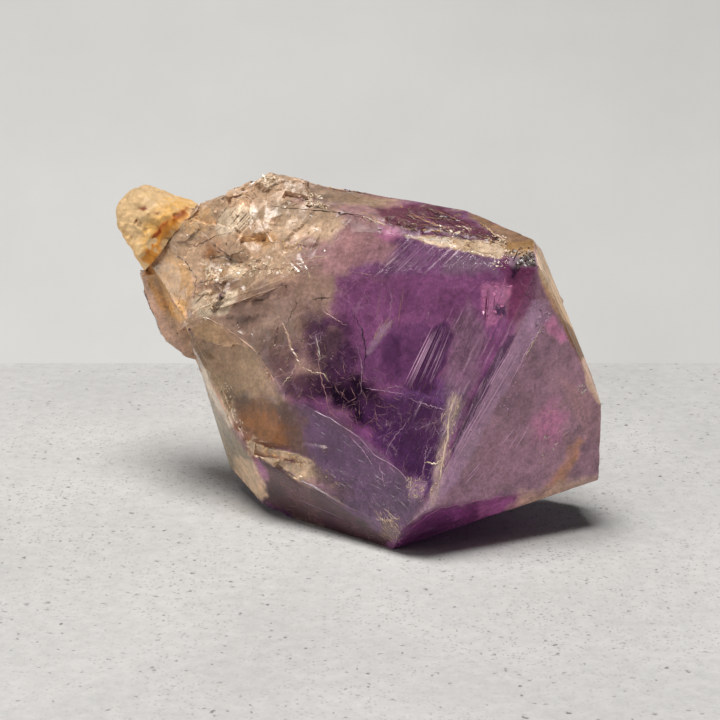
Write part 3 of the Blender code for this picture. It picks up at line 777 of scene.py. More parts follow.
def mottled(tree, color, place, scale, detail, rough, low, high, least, most):
    """A colour times a noise, taken from between two levels to between two strengths."""
    noise = noise_of(tree, place, scale, detail, rough)
    return vector_node(tree, "MULTIPLY", color, ramp(tree, noise, low, high, least, most))


def shaded(tree, color, shade, strength):
    """A colour times one plus a shade by its strength."""
    gain = math_node(tree, "ADD", 1.0, times(tree, strength, shade))
    return vector_node(tree, "MULTIPLY", color, gain)


# Mottling of the quartz: scale, detail, roughness, two levels of the noise and the strengths they get.
MOTTLES = (
    (150.0, 7.0, 0.7, 0.35, 0.65, 0.72, 1.3),
    (620.0, 6.0, 0.7, 0.3, 0.7, 0.74, 1.28),
    (1900.0, 4.0, 0.75, 0.32, 0.68, 0.74, 1.3),
)

# How the growth streaks are stretched: scales along them, across them and into the stone.
STREAK_SCALES = (95.0, 1900.0, 420.0)

# How much longer the broken grain is along the growth, and the scales of its large and small cells.
SHARD_SCALES = (0.42, 1.0, 1.0)
LARGE_CELLS = 420.0
SMALL_CELLS = 1300.0

# Colours of the veils and of the pale edges in the skin, partly chipped wear and partly a painted
# highlight, and of the rust specks in the nub.
VEIL_COLOR = tone(200, 172, 184)
EDGE_WEAR_HIGHLIGHT_COLOR = tone(236, 210, 180)
SPECK_COLOR = tone(128, 70, 30)


def crystal_material(look, ways, band_way):
    """Clear to hazy quartz: zone colours, mottling, growth streaks, broken grain, veins and specks."""
    material, tree, shader = material_with("amethyst", 0.1, IOR=QUARTZ_IOR)
    place = own_place(tree)
    color = painted(tree, "tint")["Color"]
    clear, rough, broken = parts_of(tree, painted(tree, "finish")["Color"])
    marks = painted(tree, "marks")
    band, face, worn_and_lit_edge = parts_of(tree, marks["Color"])
    veined = marks["Alpha"]

    for settings in MOTTLES:
        color = mottled(tree, color, place, *settings)
    streak = noise_of(tree, turned(tree, place, ways, STREAK_SCALES), 1.0, 6.0, 0.7)
    color = shaded(tree, color, ramp(tree, streak, 0.3, 0.7, -0.34, 0.4), face)
    shard = turned(tree, place, ways, SHARD_SCALES)
    large, large_value = facets(tree, shard, LARGE_CELLS)
    small, small_value = facets(tree, shard, SMALL_CELLS)
    cell = times(tree, ramp(tree, large_value, 0.1, 0.9, 0.78, 1.26),
                 ramp(tree, small_value, 0.1, 0.9, 0.84, 1.18))
    color = shaded(tree, color, math_node(tree, "SUBTRACT", cell, 1.0), broken)

    band_line = times(tree, growth_wave(tree, place, band_way, 1500.0, 0.52, 0.72), band)
    face_line = times(tree, ramp(tree, streak, 0.585, 0.66), face)
    patchy = ramp(tree, noise_of(tree, place, 230.0, 3.0), 0.42, 0.62)
    line = times(tree, math_node(tree, "ADD", band_line, face_line), patchy)
    drift = noise_of(tree, place, 120.0, 8.0, 0.72, 1.2)
    wisp = ramp(tree, drift, 0.58, 0.74, 0.0, 0.35)
    crooked = bent(tree, place, 240.0, 3.0, (0.004, 0.004, 0.004))
    coarse = vein(tree, crooked, 130.0, 0.011, ramp(tree, drift, 0.5, 0.62, 0.0, 0.5))
    cloud = noise_of(tree, place, 130.0, 5.0)
    fine = vein(tree, crooked, 420.0, 0.03, ramp(tree, cloud, 0.5, 0.66, 0.0, 0.45))
    # Tiny pale dots: small inclusions that also stand as painted glints.
    speck = times(tree, dots(tree, place, 1500.0, 0.62, 0.08, 0.08, 0.2),
                  ramp(tree, drift, 0.52, 0.6, 0.0, 0.8))
    veil = largest(tree, wisp, line, times(tree, largest(tree, coarse, fine), veined), speck)
    # Veils, then a pale cream on sharp edges: chipped wear and a painted edge highlight.
    color = blend(tree, worn_and_lit_edge, blend(tree, veil, color, VEIL_COLOR), EDGE_WEAR_HIGHLIGHT_COLOR)
    tree.links.new(color, shader.inputs["Base Color"])
    bare = math_node(tree, "SUBTRACT", 1.0, largest(tree, veil, worn_and_lit_edge))
    tree.links.new(times(tree, clear, bare), shader.inputs["Transmission Weight"])
    tree.links.new(rough, shader.inputs["Roughness"])

    surface = math_node(tree, "ADD", noise_of(tree, place, 1500.0, 3.0), times(tree, line, 2.0))
    under = node(tree, "Bump", {"Height": surface, "Strength": 0.25, "Distance": 0.0002})
    bump = node(tree, "Bump", {"Height": math_node(tree, "ADD", large, small), "Strength": broken,
                               "Distance": 0.45, "Normal": under.outputs[0]})
    tree.links.new(bump.outputs[0], shader.inputs["Normal"])
    depth = {"Color": (*look.depth_color, 1.0), "Density": look.depth_density}
    absorb = node(tree, "VolumeAbsorption", depth)
    tree.links.new(absorb.outputs[0], tree.nodes["Material Output"].inputs["Volume"])
    return material


def film_material(name, roughness, clear):
    """Thin quartz and mineral film, coloured piece by piece."""
    material, tree, shader = material_with(name, roughness, IOR=QUARTZ_IOR, Transmission_Weight=clear)
    tree.links.new(painted(tree, "tint")["Color"], shader.inputs["Base Color"])
    return material


def nub_material():
    """Waxy cream stone with rust seams and specks."""
    material, tree, shader = material_with("iron_stained_matrix", 0.55)
    place = own_place(tree)
    mottle = noise_of(tree, place, 600.0, 6.0, 0.65)
    gain = ramp(tree, mottle, 0.3, 0.7, 0.8, 1.2)
    color = vector_node(tree, "MULTIPLY", painted(tree, "tint")["Color"], gain)
    speck = noise_of(tree, place, 900.0, 5.0, 0.7)
    color = blend(tree, ramp(tree, speck, 0.66, 0.72, 0.0, 0.8), color, SPECK_COLOR)
    tree.links.new(color, shader.inputs["Base Color"])
    bump = node(tree, "Bump", {"Height": mottle, "Strength": 0.5, "Distance": 0.0004})
    tree.links.new(bump.outputs[0], shader.inputs["Normal"])
    return material


def strands(name, paths, normals, widths, heights, colors, material, sunk=0.03):
    """A closed ridge along each path: two sunk feet half a width aside and a crest a height up."""
    whole = ~np.isnan(paths).any(axis=(1, 2))
    paths, normals, widths, heights = paths[whole], unit(normals[whole]), widths[whole], heights[whole]
    side = unit(np.cross(np.gradient(paths, axis=1), normals)) * widths[..., None] / 2.0
    foot = paths - normals * sunk
    places = np.stack([foot - side, paths + normals * heights[..., None], foot + side], axis=2)
    count, steps = paths.shape[:2]
    index = np.arange(count * steps * 3).reshape(count, steps, 3)
    after = np.roll(index, -1, axis=2)
    quads = np.stack([after[:, :-1], after[:, 1:], index[:, 1:], index[:, :-1]], axis=-1).reshape(-1, 4)
    caps = np.concatenate([index[:, 0, ::-1], index[:, -1]])
    faces = quads.tolist() + caps.tolist()
    piece = new_piece(name, places.reshape(-1, 3), faces, material, sharp=25.0)
    shown = held(colors[whole, None] / light_on(normals, FILM_CLEAR)[..., None])
    paint(piece, "tint", np.repeat(shown.reshape(-1, 3), 3, axis=0))
    return piece


def plates(name, centres, normals, sizes, colors, material, rng, tilt=0.5, thick=0.12, long=1.8):
    """A closed thin four-cornered plate at each place: corners at uneven radii about a tilted way."""
    whole = ~np.isnan(centres).any(axis=1)
    centres, normals, sizes, colors = centres[whole], normals[whole], sizes[whole], colors[whole]
    count = len(centres)
    up = unit(unit(normals) + rng.normal(0.0, tilt, (count, 3)) * 0.6)
    first = unit(np.cross(up, rng.normal(0.0, 1.0, (count, 3))))
    second = np.cross(up, first)
    angles = np.arange(4) * math.pi / 2 + rng.uniform(-0.5, 0.5, (count, 4))
    radii = sizes[:, None] * rng.uniform(0.55, 1.3, (count, 4))
    x, y = radii * np.cos(angles) * long**0.5, radii * np.sin(angles) / long**0.5
    outline = centres[:, None] + x[..., None] * first[:, None] + y[..., None] * second[:, None]
    half = up[:, None] * (sizes * thick)[:, None, None]
    places = np.stack([outline + half, outline - half], axis=1)
    index = np.arange(count * 8).reshape(count, 2, 4)
    top, bottom = index[:, 0], index[:, 1]
    walls = np.stack([bottom, np.roll(bottom, -1, axis=1), np.roll(top, -1, axis=1), top], axis=-1)
    walls = walls.reshape(-1, 4)
    faces = np.concatenate([top, bottom[:, ::-1], walls])
    piece = new_piece(name, places.reshape(-1, 3), faces.tolist(), material, sharp=20.0)
    shown = held(colors / light_on(unit(normals), FILM_CLEAR)[:, None])
    paint(piece, "tint", np.repeat(shown, 8, axis=0))
    return piece


def along_line(points, count):
    """Evenly spaced spots on a bent line through points."""
    points = np.array(points, float)
    reach = np.concatenate([[0.0], np.cumsum(np.linalg.norm(np.diff(points, axis=0), axis=1))])
    even = np.linspace(0.0, reach[-1], count)
    return np.stack([np.interp(even, reach, points[:, k]) for k in range(2)], axis=1)


def at_share(line, share):
    """Spots at shares from 0 to 1 of a bent line's list of points."""
    line = np.array(line, float)
    steps = np.linspace(0.0, 1.0, len(line))
    return np.stack([np.interp(share, steps, line[:, k]) for k in range(2)], axis=1)


def hatch(lower, upper, count, cover, rng, steps):
    """Straight lines between two bent lines, at the same share of each, cut short by a cover range."""
    share = np.sort(rng.uniform(0.0, 1.0, count))
    start, end = at_share(lower, share), at_share(upper, share)
    length = rng.uniform(cover[0], cover[1], count)
    first = rng.uniform(0.0, 1.0 - length)
    along = first[:, None] + length[:, None] * np.linspace(0.0, 1.0, steps)
    return start[:, None] + (end - start)[:, None] * along[..., None]


def spots_inside(outline, count, rng, tries=12):
    """Random spots inside an outline: the first of many tries in its box that fall in it."""
    outline = np.array(outline, float)
    spots = rng.uniform(outline.min(axis=0), outline.max(axis=0), (count * tries, 2))
    return spots[inside_share(spots[:, 0], spots[:, 1], outline, 0.01) > 0.5][:count]


def hairs(groups, rng, steps):
    """Short lines in the picture: a way from each start, bowed by half a sine, with a little stray."""
    spots, widths, colors = [], [], []
    for count, least, most, width, color, angle, spread, outline in groups:
        start = spots_inside(outline, count, rng)
        turn = np.radians(angle + spread * rng.normal(0.0, 1.0, len(start)))
        way = np.stack([np.cos(turn), -np.sin(turn)], axis=1)[:, None]
        side = np.stack([np.sin(turn), np.cos(turn)], axis=1)[:, None]
        share = np.linspace(0.0, 1.0, steps)[:, None]
        length = (least + (most - least) * rng.uniform(0.0, 1.0, len(start)) ** 1.6)[:, None, None]
        bow = rng.normal(0.0, 0.06, (len(start), 1, 1)) * length * np.sin(math.pi * share)
        stray = rng.normal(0.0, 0.07, (len(start), steps, 2))
        spots.append(start[:, None] + way * share * length + side * bow + stray)
        widths.append(width * rng.uniform(0.5, 1.4, (len(start), 1)) * taper(steps))
        colors.append(color * rng.uniform(0.6, 1.25, (len(start), 1)))
    return np.concatenate(spots), np.concatenate(widths), np.concatenate(colors)


# What the crystal's skin hands on to the pieces laid on it: its lines of sight and two film materials.
STATE = {}

# The sides that the picture doesn't show: the corners of the field searched in each one's view, in mm
# from the middle, then azimuth and height of each view in degrees.
HIDDEN_LOW = (-38.0, -26.0)
HIDDEN_HIGH = (38.0, 28.0)
HIDDEN_VIEWS = ((90.0, 10.0), (135.0, 5.0), (180.0, 15.0), (225.0, 5.0), (270.0, 10.0), (180.0, 65.0))


def hidden_spots(count, rng, spread=0.0, steps=1, way=(0.0, 1.0), length=(1.0, 1.0), stray=0.0):
    """Lines or single places on the sides that the picture doesn't show, set out in each side's view."""
    found = []
    for azimuth, lift in HIDDEN_VIEWS:
        start = rng.uniform(HIDDEN_LOW, HIDDEN_HIGH, (count, 2))
        turn = math.atan2(way[1], way[0]) + math.radians(spread) * rng.normal(0.0, 1.0, count)
        reach = rng.uniform(length[0], length[1], count)[:, None] * np.linspace(0.0, 1.0, steps)
        ways = np.stack([np.cos(turn), np.sin(turn)], axis=1)
        spots = start[:, None] + reach[..., None] * ways[:, None]
        spots = spots + rng.normal(0.0, 1.0, spots.shape) * stray
        places, normals = STATE["sight"].from_side(spots, azimuth, lift)
        whole = ~np.isnan(places).any(axis=(1, 2))
        places, normals = places[whole], normals[whole]
        turned_away = np.sum(normals * unit(EYE - places), axis=2).max(axis=1) < -0.05
        off_floor = places[:, :, 2].min(axis=1) > 0.6
        on_one_face = np.sum(normals[:, 0] * normals[:, -1], axis=1) > 0.7
        kept = turned_away & off_floor & on_one_face
        found.append((places[kept], normals[kept]))
    return [np.concatenate(parts) for parts in zip(*found)]


def with_hidden(spots, hidden):
    """Places and directions under spots of the picture, followed by those on the hidden sides."""
    return [np.concatenate(pair) for pair in zip(STATE["sight"].seen(spots), hidden)]


def taper(steps, end=0.06, power=0.6):
    """Width share along a line: a sine to a low power, so it stays wide and closes at both ends."""
    return np.sin(np.linspace(end, math.pi - end, steps)) ** power


# Ends and outlines that two groups of lines share, in the picture.
STEP_FOOT = ((213, 224), (240, 236))
STEP_HEAD = ((228, 204), (262, 214))
NECK_FOOT = ((191, 304), (216, 317))
NECK_HEAD = ((205, 290), (240, 292))
WISPY_BAND = ((436, 326), (500, 300), (516, 330), (470, 430), (440, 500), (424, 470))
ROOT_SIDE = ((196, 206), (270, 182), (330, 196), (340, 240), (300, 268), (240, 292), (196, 312),
    (186, 260))

# Growth lines in the picture: lower line, upper line, count, least and most cover, width in mm, colour.
LINE_GROUPS = (
    (((372, 276), (400, 280), (440, 277), (496, 270)), ((402, 240), (436, 241), (470, 247), (508, 256)),
        190, (0.2, 0.95), 0.1, LILAC * 1.35),
    (((384, 279), (390, 280)), ((424, 240), (432, 241)), 5, (0.7, 1.0), 0.13, LILAC * 1.7),
    # Painted highlight: the light that the clear face's striations catch, on their ridges.
    (((402, 386), (428, 394)), ((433, 323), (458, 318)), 14, (0.5, 1.0), 0.13, LILAC * 1.7),
    (((403, 386), (412, 391)), ((434, 323), (442, 324)), 6, (0.85, 1.0), 0.2, LILAC * 2.3),
    (((412, 470), (470, 430)), ((462, 305), (508, 345)), 110, (0.08, 0.4), 0.09, LILAC * 1.2),
    (((428, 500), (450, 480)), ((500, 345), (518, 340)), 14, (0.1, 0.4), 0.1, LILAC * 1.2),
    (STEP_FOOT, STEP_HEAD, 36, (0.5, 1.0), 0.15, CREAM * 1.9),
    (STEP_FOOT, STEP_HEAD, 18, (0.4, 0.9), 0.16, BROWN * 0.6),
    (NECK_FOOT, NECK_HEAD, 34, (0.5, 1.0), 0.14, CREAM * 1.6),
    (NECK_FOOT, NECK_HEAD, 14, (0.4, 0.9), 0.18, BROWN * 0.7),
    (((283, 240), (287, 272)), ((326, 240), (346, 266)), 26, (0.2, 0.7), 0.14, CREAM),
    (((262, 455), (270, 492)), ((372, 520), (390, 540)), 9, (0.2, 0.8), 0.16, SLATE * 1.5),
    # Painted highlight: bright peach lines along the clear face's left edge.
    (((202, 368), (206, 368)), ((231, 426), (236, 428)), 5, (0.5, 1.0), 0.3, PEACH),
    (((482, 324), (494, 326)), ((484, 286), (498, 284)), 7, (0.4, 0.9), 0.2, WINE),
    (((380, 212), (404, 236)), ((480, 222), (508, 242)), 7, (0.2, 0.6), 0.16, GOLD),
    (((412, 521), (428, 514)), ((535, 299), (545, 318)), 8, (0.2, 0.6), 0.16, LILAC * 1.3),
    (((372, 330), (400, 330)), ((380, 280), (404, 282)), 8, (0.3, 0.8), 0.14, ROSE),
    (((540, 268), (542, 266)), ((582, 356), (584, 354)), 4, (0.4, 0.9), 0.22, GOLD),
    (((450, 490), (500, 480)), ((500, 440), (545, 400)), 12, (0.1, 0.4), 0.14, LILAC * 1.2),
)

# Healed cracks and bright edge lines in the picture, some of them painted highlights and glints: width in
# mm, colour, places.
CRACKS = (
    (0.55, SMOKE * 1.6, ((282, 322), (288, 336), (291, 348), (297, 358), (300, 366))),
    (0.22, CREAM, ((300, 366), (312, 372), (324, 374), (330, 384))),
    (0.22, CREAM, ((298, 362), (290, 376), (278, 390))),
    (0.2, ROSE * 1.3, ((318, 334), (317, 350), (320, 372), (325, 392), (331, 416))),
    (0.22, WHITE, ((316, 336), (319, 350), (320, 362))),
    (0.22, LILAC * 1.4, ((364, 388), (384, 391), (404, 394))),
    (0.2, LILAC * 1.4, ((384, 390), (396, 386), (404, 388))),
    (0.24, LILAC * 1.5, ((408, 398), (424, 404), (438, 408), (450, 412))),
    (0.3, UMBER * 0.5, ((312, 300), (322, 298), (330, 298))),
    (0.25, ROSE * 1.3, ((320, 308), (328, 314), (340, 322), (346, 326))),
    (0.2, UMBER, ((300, 300), (292, 312), (285, 330))),
    (0.2, SMOKE * 1.4, ((304, 300), (298, 318), (292, 332))),
    (0.24, LILAC, ((356, 342), (362, 366), (361, 392), (358, 400))),
    (0.3, NIGHT, ((352, 312), (362, 330), (366, 348), (364, 372))),
    (0.18, LILAC * 1.2, ((388, 281), (392, 300), (388, 324))),
    (0.26, SMOKE * 1.4, ((186, 324), (205, 317), (222, 325), (242, 340), (258, 354), (270, 374),
        (284, 400))),
    (0.2, LILAC, ((284, 400), (302, 404), (340, 424), (357, 436), (376, 456), (396, 468), (412, 485),
        (425, 503))),
    (0.2, LILAC * 1.3, ((350, 436), (364, 452), (374, 468))),
    (0.2, LILAC * 1.3, ((378, 462), (382, 474), (384, 486))),
    (0.32, CREAM, ((456, 394), (450, 412), (447, 440), (441, 470), (435, 502))),
    (0.28, CREAM, ((424, 462), (436, 464), (444, 458))),
    (0.2, LILAC * 1.4, ((428, 438), (425, 460), (421, 482))),
    (0.2, LILAC * 1.3, ((384, 458), (392, 440), (404, 426), (412, 414))),
    # Painted highlight: the bright top edge of the ledge.
    (0.2, CREAM, ((249, 441), (264, 448), (298, 454), (306, 461), (312, 474))),
    (0.16, SMOKE * 0.6, ((262, 452), (300, 480), (330, 496), (362, 514), (392, 538))),
    # Painted highlight: a bright peach line along the underside's edge.
    (0.3, PEACH, ((600, 480), (562, 486), (540, 490), (520, 494))),
    (0.16, PINK * 0.7, ((520, 494), (480, 500), (440, 508), (416, 524), (400, 541))),
    (0.3, UMBER * 0.7, ((262, 205), (282, 208), (300, 209), (340, 213), (360, 215), (386, 226))),
    (0.34, CREAM, ((355, 212), (372, 220), (388, 226))),
    (0.2, ROSE * 1.1, ((330, 275), (356, 272), (374, 276), (380, 279))),
    # Painted highlight: a bright cream line along the clear face's left edge.
    (0.26, CREAM, ((187, 326), (200, 350), (216, 376), (228, 404), (240, 430), (250, 446))),
    (0.2, LILAC * 1.3, ((532, 300), (520, 330), (500, 368), (480, 406), (460, 442), (430, 502),
        (414, 520))),
    (0.2, LILAC * 1.2, ((545, 318), (530, 344), (516, 372), (506, 390))),
    (0.24, CREAM, ((542, 326), (530, 348), (522, 362))),
    # Painted highlight and glints: the slab's bright top edge and golden glints in the trough.
    (0.24, CREAM, ((440, 236), (462, 240), (482, 241), (509, 242))),
    (0.34, CREAM * 1.2, ((456, 226), (464, 227), (472, 230))),
    (0.3, CREAM * 1.1, ((484, 224), (492, 232), (508, 242))),
    (0.26, UMBER * 0.5, ((486, 229), (494, 236), (500, 241))),
    (0.26, UMBER * 0.5, ((424, 208), (446, 218), (466, 222), (480, 232))),
    (0.22, GOLD, ((356, 210), (372, 216), (384, 226), (392, 232))),
    (0.22, PINK, ((410, 214), (424, 218), (440, 226))),
    # Painted highlight and glint: the slab's white top edge and a gold glint in the trough.
    (0.3, WHITE * 0.9, ((404, 237), (430, 239), (452, 242))),
    (0.3, GOLD * 1.2, ((480, 222), (492, 232), (500, 241))),
    (0.24, GOLD, ((408, 212), (430, 222), (452, 230), (462, 236))),
    (0.2, GOLD * 0.8, ((420, 206), (446, 214), (470, 226))),
    (0.24, UMBER, ((170, 250), (186, 262), (196, 278), (194, 298))),
    (0.24, UMBER, ((196, 284), (214, 279), (238, 279))),
    (0.26, UMBER, ((145, 272), (152, 290), (168, 320), (184, 346), (197, 363))),
    (0.24, BROWN, ((176, 240), (196, 246), (214, 236), (236, 232))),
    (0.2, BROWN * 0.8, ((226, 262), (240, 262), (262, 270), (284, 268), (300, 275))),
    (0.2, CREAM, ((280, 186), (288, 194), (288, 202))),
    (0.2, GREY * 0.6, ((586, 412), (578, 428), (572, 436))),
)

# Fine short cracks in the picture, and clusters of cream lines on the root that are painted glints: count,
# least and most length in pixels, width in mm, colour, way and spread in degrees, outline.
HAIR_GROUPS = (
    (200, 3, 16, 0.09, ROSE * 0.95, 40, 90, ((296, 366), (340, 350), (400, 380), (450, 398), (440, 430),
        (390, 436), (340, 425), (306, 410))),
    (90, 3, 12, 0.1, SMOKE * 1.3, 60, 60, ((262, 330), (300, 318), (330, 330), (330, 390), (290, 402),
        (266, 372))),
    (80, 4, 16, 0.09, MAUVE * 1.5, 66, 18, ((372, 430), (440, 410), (444, 470), (424, 490), (390, 462))),
    (150, 5, 26, 0.09, LILAC * 1.1, 66, 5, WISPY_BAND),
    (60, 5, 22, 0.09, DEEP, 66, 5, WISPY_BAND),
    (170, 3, 10, 0.1, LILAC * 1.15, 60, 50, ((530, 302), (544, 320), (524, 372), (490, 436), (440, 504),
        (420, 512), (460, 440), (500, 368))),
    (110, 3, 9, 0.08, ROSE * 1.1, 50, 50, ((520, 400), (560, 380), (592, 400), (590, 450), (540, 480),
        (490, 490), (480, 460))),
    (110, 4, 18, 0.08, LILAC * 0.8, -48, 14, ((310, 412), (350, 430), (410, 486), (414, 510), (390, 530),
        (330, 480))),
    (60, 3, 10, 0.09, SMOKE * 1.15, 50, 60, ((204, 330), (232, 326), (266, 370), (284, 402), (240, 430),
        (216, 380))),
    # Painted glints: clusters of cream lines where the root catches the light.
    (60, 2, 8, 0.15, CREAM * 1.2, 30, 40, ((254, 174), (272, 172), (288, 188), (276, 192), (256, 186))),
    (50, 2, 9, 0.15, CREAM * 1.2, -60, 25, ((302, 190), (314, 192), (326, 204), (318, 210), (304, 204))),
    (60, 2, 9, 0.15, CREAM * 1.1, 50, 40, ((180, 218), (206, 204), (214, 210), (196, 240), (180, 238))),
    (70, 2, 9, 0.14, CREAM * 1.2, 40, 40, ((224, 256), (262, 254), (292, 262), (290, 272), (244, 280),
        (226, 278))),
    (50, 2, 8, 0.14, CREAM, 60, 50, ((204, 258), (226, 258), (226, 284), (206, 284))),
    (50, 2, 10, 0.14, CREAM * 1.1, 8, 16, ((278, 236), (306, 238), (304, 254), (280, 254))),
    (30, 2, 8, 0.12, CREAM, 60, 30, ((192, 308), (212, 312), (206, 324), (190, 322))),
    (200, 3, 13, 0.12, SAND * 1.1, 22, 26, ROOT_SIDE),
    (120, 3, 12, 0.13, HAZEL * 0.7, 25, 40, ROOT_SIDE),
    (100, 3, 16, 0.12, CREAM, 76, 10, ((444, 402), (460, 396), (462, 410), (452, 444), (446, 474),
        (438, 506), (428, 506), (438, 450))),
    (70, 3, 10, 0.11, CREAM, 62, 24, ((404, 480), (428, 478), (424, 504), (408, 502))),
    (70, 3, 12, 0.12, SAND, 125, 22, ((376, 512), (402, 518), (404, 542), (386, 544))),
    (50, 3, 10, 0.1, PEACH, 60, 24, ((536, 410), (566, 398), (574, 436), (548, 470), (528, 462))),
    (40, 5, 20, 0.12, HAZEL, -22, 10, ((384, 208), (440, 208), (500, 238), (470, 240), (400, 226))),
    (46, 8, 34, 0.2, UMBER * 0.3, -27, 7, ((384, 208), (440, 207), (500, 236), (470, 238), (400, 226))),
    (26, 5, 18, 0.13, CREAM, -27, 7, ((400, 210), (446, 212), (500, 236), (470, 238), (420, 226))),
    (34, 5, 18, 0.09, SAND, 62, 8, ((366, 350), (382, 325), (394, 321), (388, 336), (374, 348))),
    (60, 3, 16, 0.1, ROSE * 1.3, 50, 80, ((330, 372), (372, 378), (396, 430), (376, 446), (340, 420))),
    (60, 4, 14, 0.1, PINK, 84, 12, ((480, 284), (512, 284), (508, 322), (486, 326))),
    (50, 3, 10, 0.1, LILAC, 60, 60, ((530, 300), (548, 302), (550, 330), (526, 340))),
    (70, 3, 10, 0.09, BROWN, -30, 30, ((262, 462), (300, 484), (392, 540), (380, 546), (300, 520),
        (262, 496))),
    (80, 3, 14, 0.08, PLUM * 1.1, 45, 60, ((350, 280), (500, 278), (500, 330), (400, 330), (352, 320))),
    (50, 3, 10, 0.09, ROSE, 45, 30, ((344, 244), (400, 240), (380, 274), (346, 270))),
)

# Bright and dark flakes in the picture: count, least and most size in mm, colour, spread of brightness,
# outline. The brightest cream, gold and white groups are painted glints.
FLAKE_GROUPS = (
    (110, 0.1, 0.4, SAND, 0.35, ((196, 206), (226, 192), (270, 176), (330, 190), (345, 215), (330, 262),
        (300, 275), (240, 300), (196, 318), (186, 260), (180, 225))),
    # Painted glints: cream and gold flakes where the root catches the light.
    (70, 0.12, 0.42, CREAM * 1.3, 0.25, ((256, 176), (272, 174), (286, 188), (276, 190), (258, 184))),
    (56, 0.12, 0.42, CREAM * 1.3, 0.25, ((304, 192), (322, 196), (320, 206), (304, 204))),
    (70, 0.12, 0.42, CREAM * 1.3, 0.25, ((228, 262), (248, 262), (292, 262), (292, 274), (240, 278))),
    (50, 0.12, 0.45, CREAM * 1.1, 0.25, ((205, 264), (224, 264), (222, 284), (206, 284))),
    (40, 0.1, 0.35, GOLD, 0.4, ((282, 240), (304, 242), (300, 252), (284, 250))),
    (24, 0.1, 0.3, UMBER, 0.4, ((200, 236), (262, 236), (300, 282), (270, 304), (200, 292))),
    (60, 0.1, 0.32, GOLD, 0.5, ((156, 290), (190, 298), (186, 322), (166, 312))),
    (50, 0.1, 0.4, HAZEL, 0.5, ((360, 204), (440, 206), (480, 222), (508, 242), (440, 238), (390, 224))),
    (20, 0.1, 0.3, DUSK, 0.4, ((390, 206), (440, 208), (500, 240), (440, 236))),
    # Painted glints: bright cream flakes in the trough.
    (30, 0.12, 0.4, CREAM * 1.3, 0.2, ((438, 224), (466, 225), (470, 236), (444, 234))),
    (24, 0.12, 0.4, CREAM * 1.2, 0.2, ((484, 230), (510, 238), (508, 244), (488, 240))),
    (24, 0.08, 0.26, CREAM, 0.2, ((404, 235), (508, 242), (504, 252), (440, 244))),
    (40, 0.1, 0.35, CREAM, 0.3, ((494, 250), (514, 250), (508, 268), (488, 270))),
    (8, 0.1, 0.3, CREAM, 0.3, ((516, 252), (535, 252), (535, 268), (520, 264))),
    (70, 0.14, 0.4, UMBER * 0.7, 0.5, ((514, 264), (522, 255), (534, 251), (535, 265), (516, 267))),
    (40, 0.12, 0.34, BROWN * 0.9, 0.4, ((506, 248), (534, 246), (534, 256), (514, 262))),
    (20, 0.1, 0.26, GOLD, 0.4, ((500, 244), (530, 243), (532, 250), (510, 256))),
    (50, 0.1, 0.35, PINK, 0.4, ((482, 284), (512, 284), (508, 310), (494, 326), (484, 324))),
    (30, 0.1, 0.3, LILAC, 0.5, ((530, 300), (548, 302), (550, 336), (536, 340))),
    (40, 0.08, 0.26, LILAC, 0.5, ((500, 370), (530, 345), (520, 400), (480, 440), (450, 480), (440, 500),
        (480, 410))),
    (40, 0.08, 0.2, SAND, 0.4, ((446, 396), (462, 396), (448, 450), (438, 506), (428, 506), (440, 440))),
    (16, 0.08, 0.2, SAND, 0.4, ((404, 480), (428, 480), (420, 502), (408, 500))),
    (12, 0.08, 0.2, SMOKE, 0.4, ((380, 518), (402, 518), (402, 540), (388, 542))),
    (40, 0.08, 0.3, SMOKE, 0.5, ((308, 462), (330, 470), (345, 490), (320, 490))),
    (36, 0.1, 0.4, GOLD, 0.3, ((250, 442), (300, 455), (312, 474), (290, 468))),
    (26, 0.08, 0.22, MAUVE, 0.5, ((300, 330), (345, 350), (350, 410), (310, 410), (290, 380))),
    (40, 0.08, 0.28, SMOKE, 0.5, ((240, 340), (300, 340), (300, 400), (270, 380))),
    # Painted glints: small white flakes on the right face.
    (14, 0.1, 0.3, WHITE, 0.2, ((574, 380), (590, 384), (592, 396), (578, 392))),
    (10, 0.08, 0.26, WHITE, 0.2, ((545, 436), (560, 440), (552, 452), (532, 462))),
    (60, 0.08, 0.3, CREAM, 0.3, ((212, 372), (226, 372), (250, 440), (240, 430))),
)

# Rust and stain on the nub in the picture: colour, strength, soft margin, outline.
NUB_ZONES = (
    (tone(226, 172, 88), 0.8, 5, ((150, 262), (158, 236), (176, 212), (194, 204), (180, 196), (160, 204),
        (140, 240))),
    (tone(206, 134, 40), 0.95, 2, ((178, 212), (190, 206), (182, 220), (168, 236), (150, 266), (140, 258),
        (150, 240), (160, 226))),
    (tone(140, 66, 18), 0.9, 1.0, ((176, 213), (188, 208), (183, 216), (174, 222))),
    (tone(150, 74, 22), 0.9, 1.0, ((162, 222), (172, 216), (166, 226), (160, 230), (157, 228))),
    (tone(130, 56, 14), 1.0, 0.8, ((152, 236), (160, 228), (163, 232), (156, 242), (146, 254),
        (148, 246))),
    (tone(120, 54, 20), 1.0, 0.7, ((139, 207), (146, 206), (150, 210), (144, 211))),
    (tone(120, 54, 20), 1.0, 0.6, ((154, 211), (160, 212), (160, 214), (155, 213))),
    (tone(120, 54, 20), 1.0, 0.6, ((135, 220), (139, 220), (138, 224), (135, 223))),
    (tone(196, 150, 90), 0.5, 3, ((118, 226), (124, 220), (136, 250), (141, 262), (134, 258))),
)


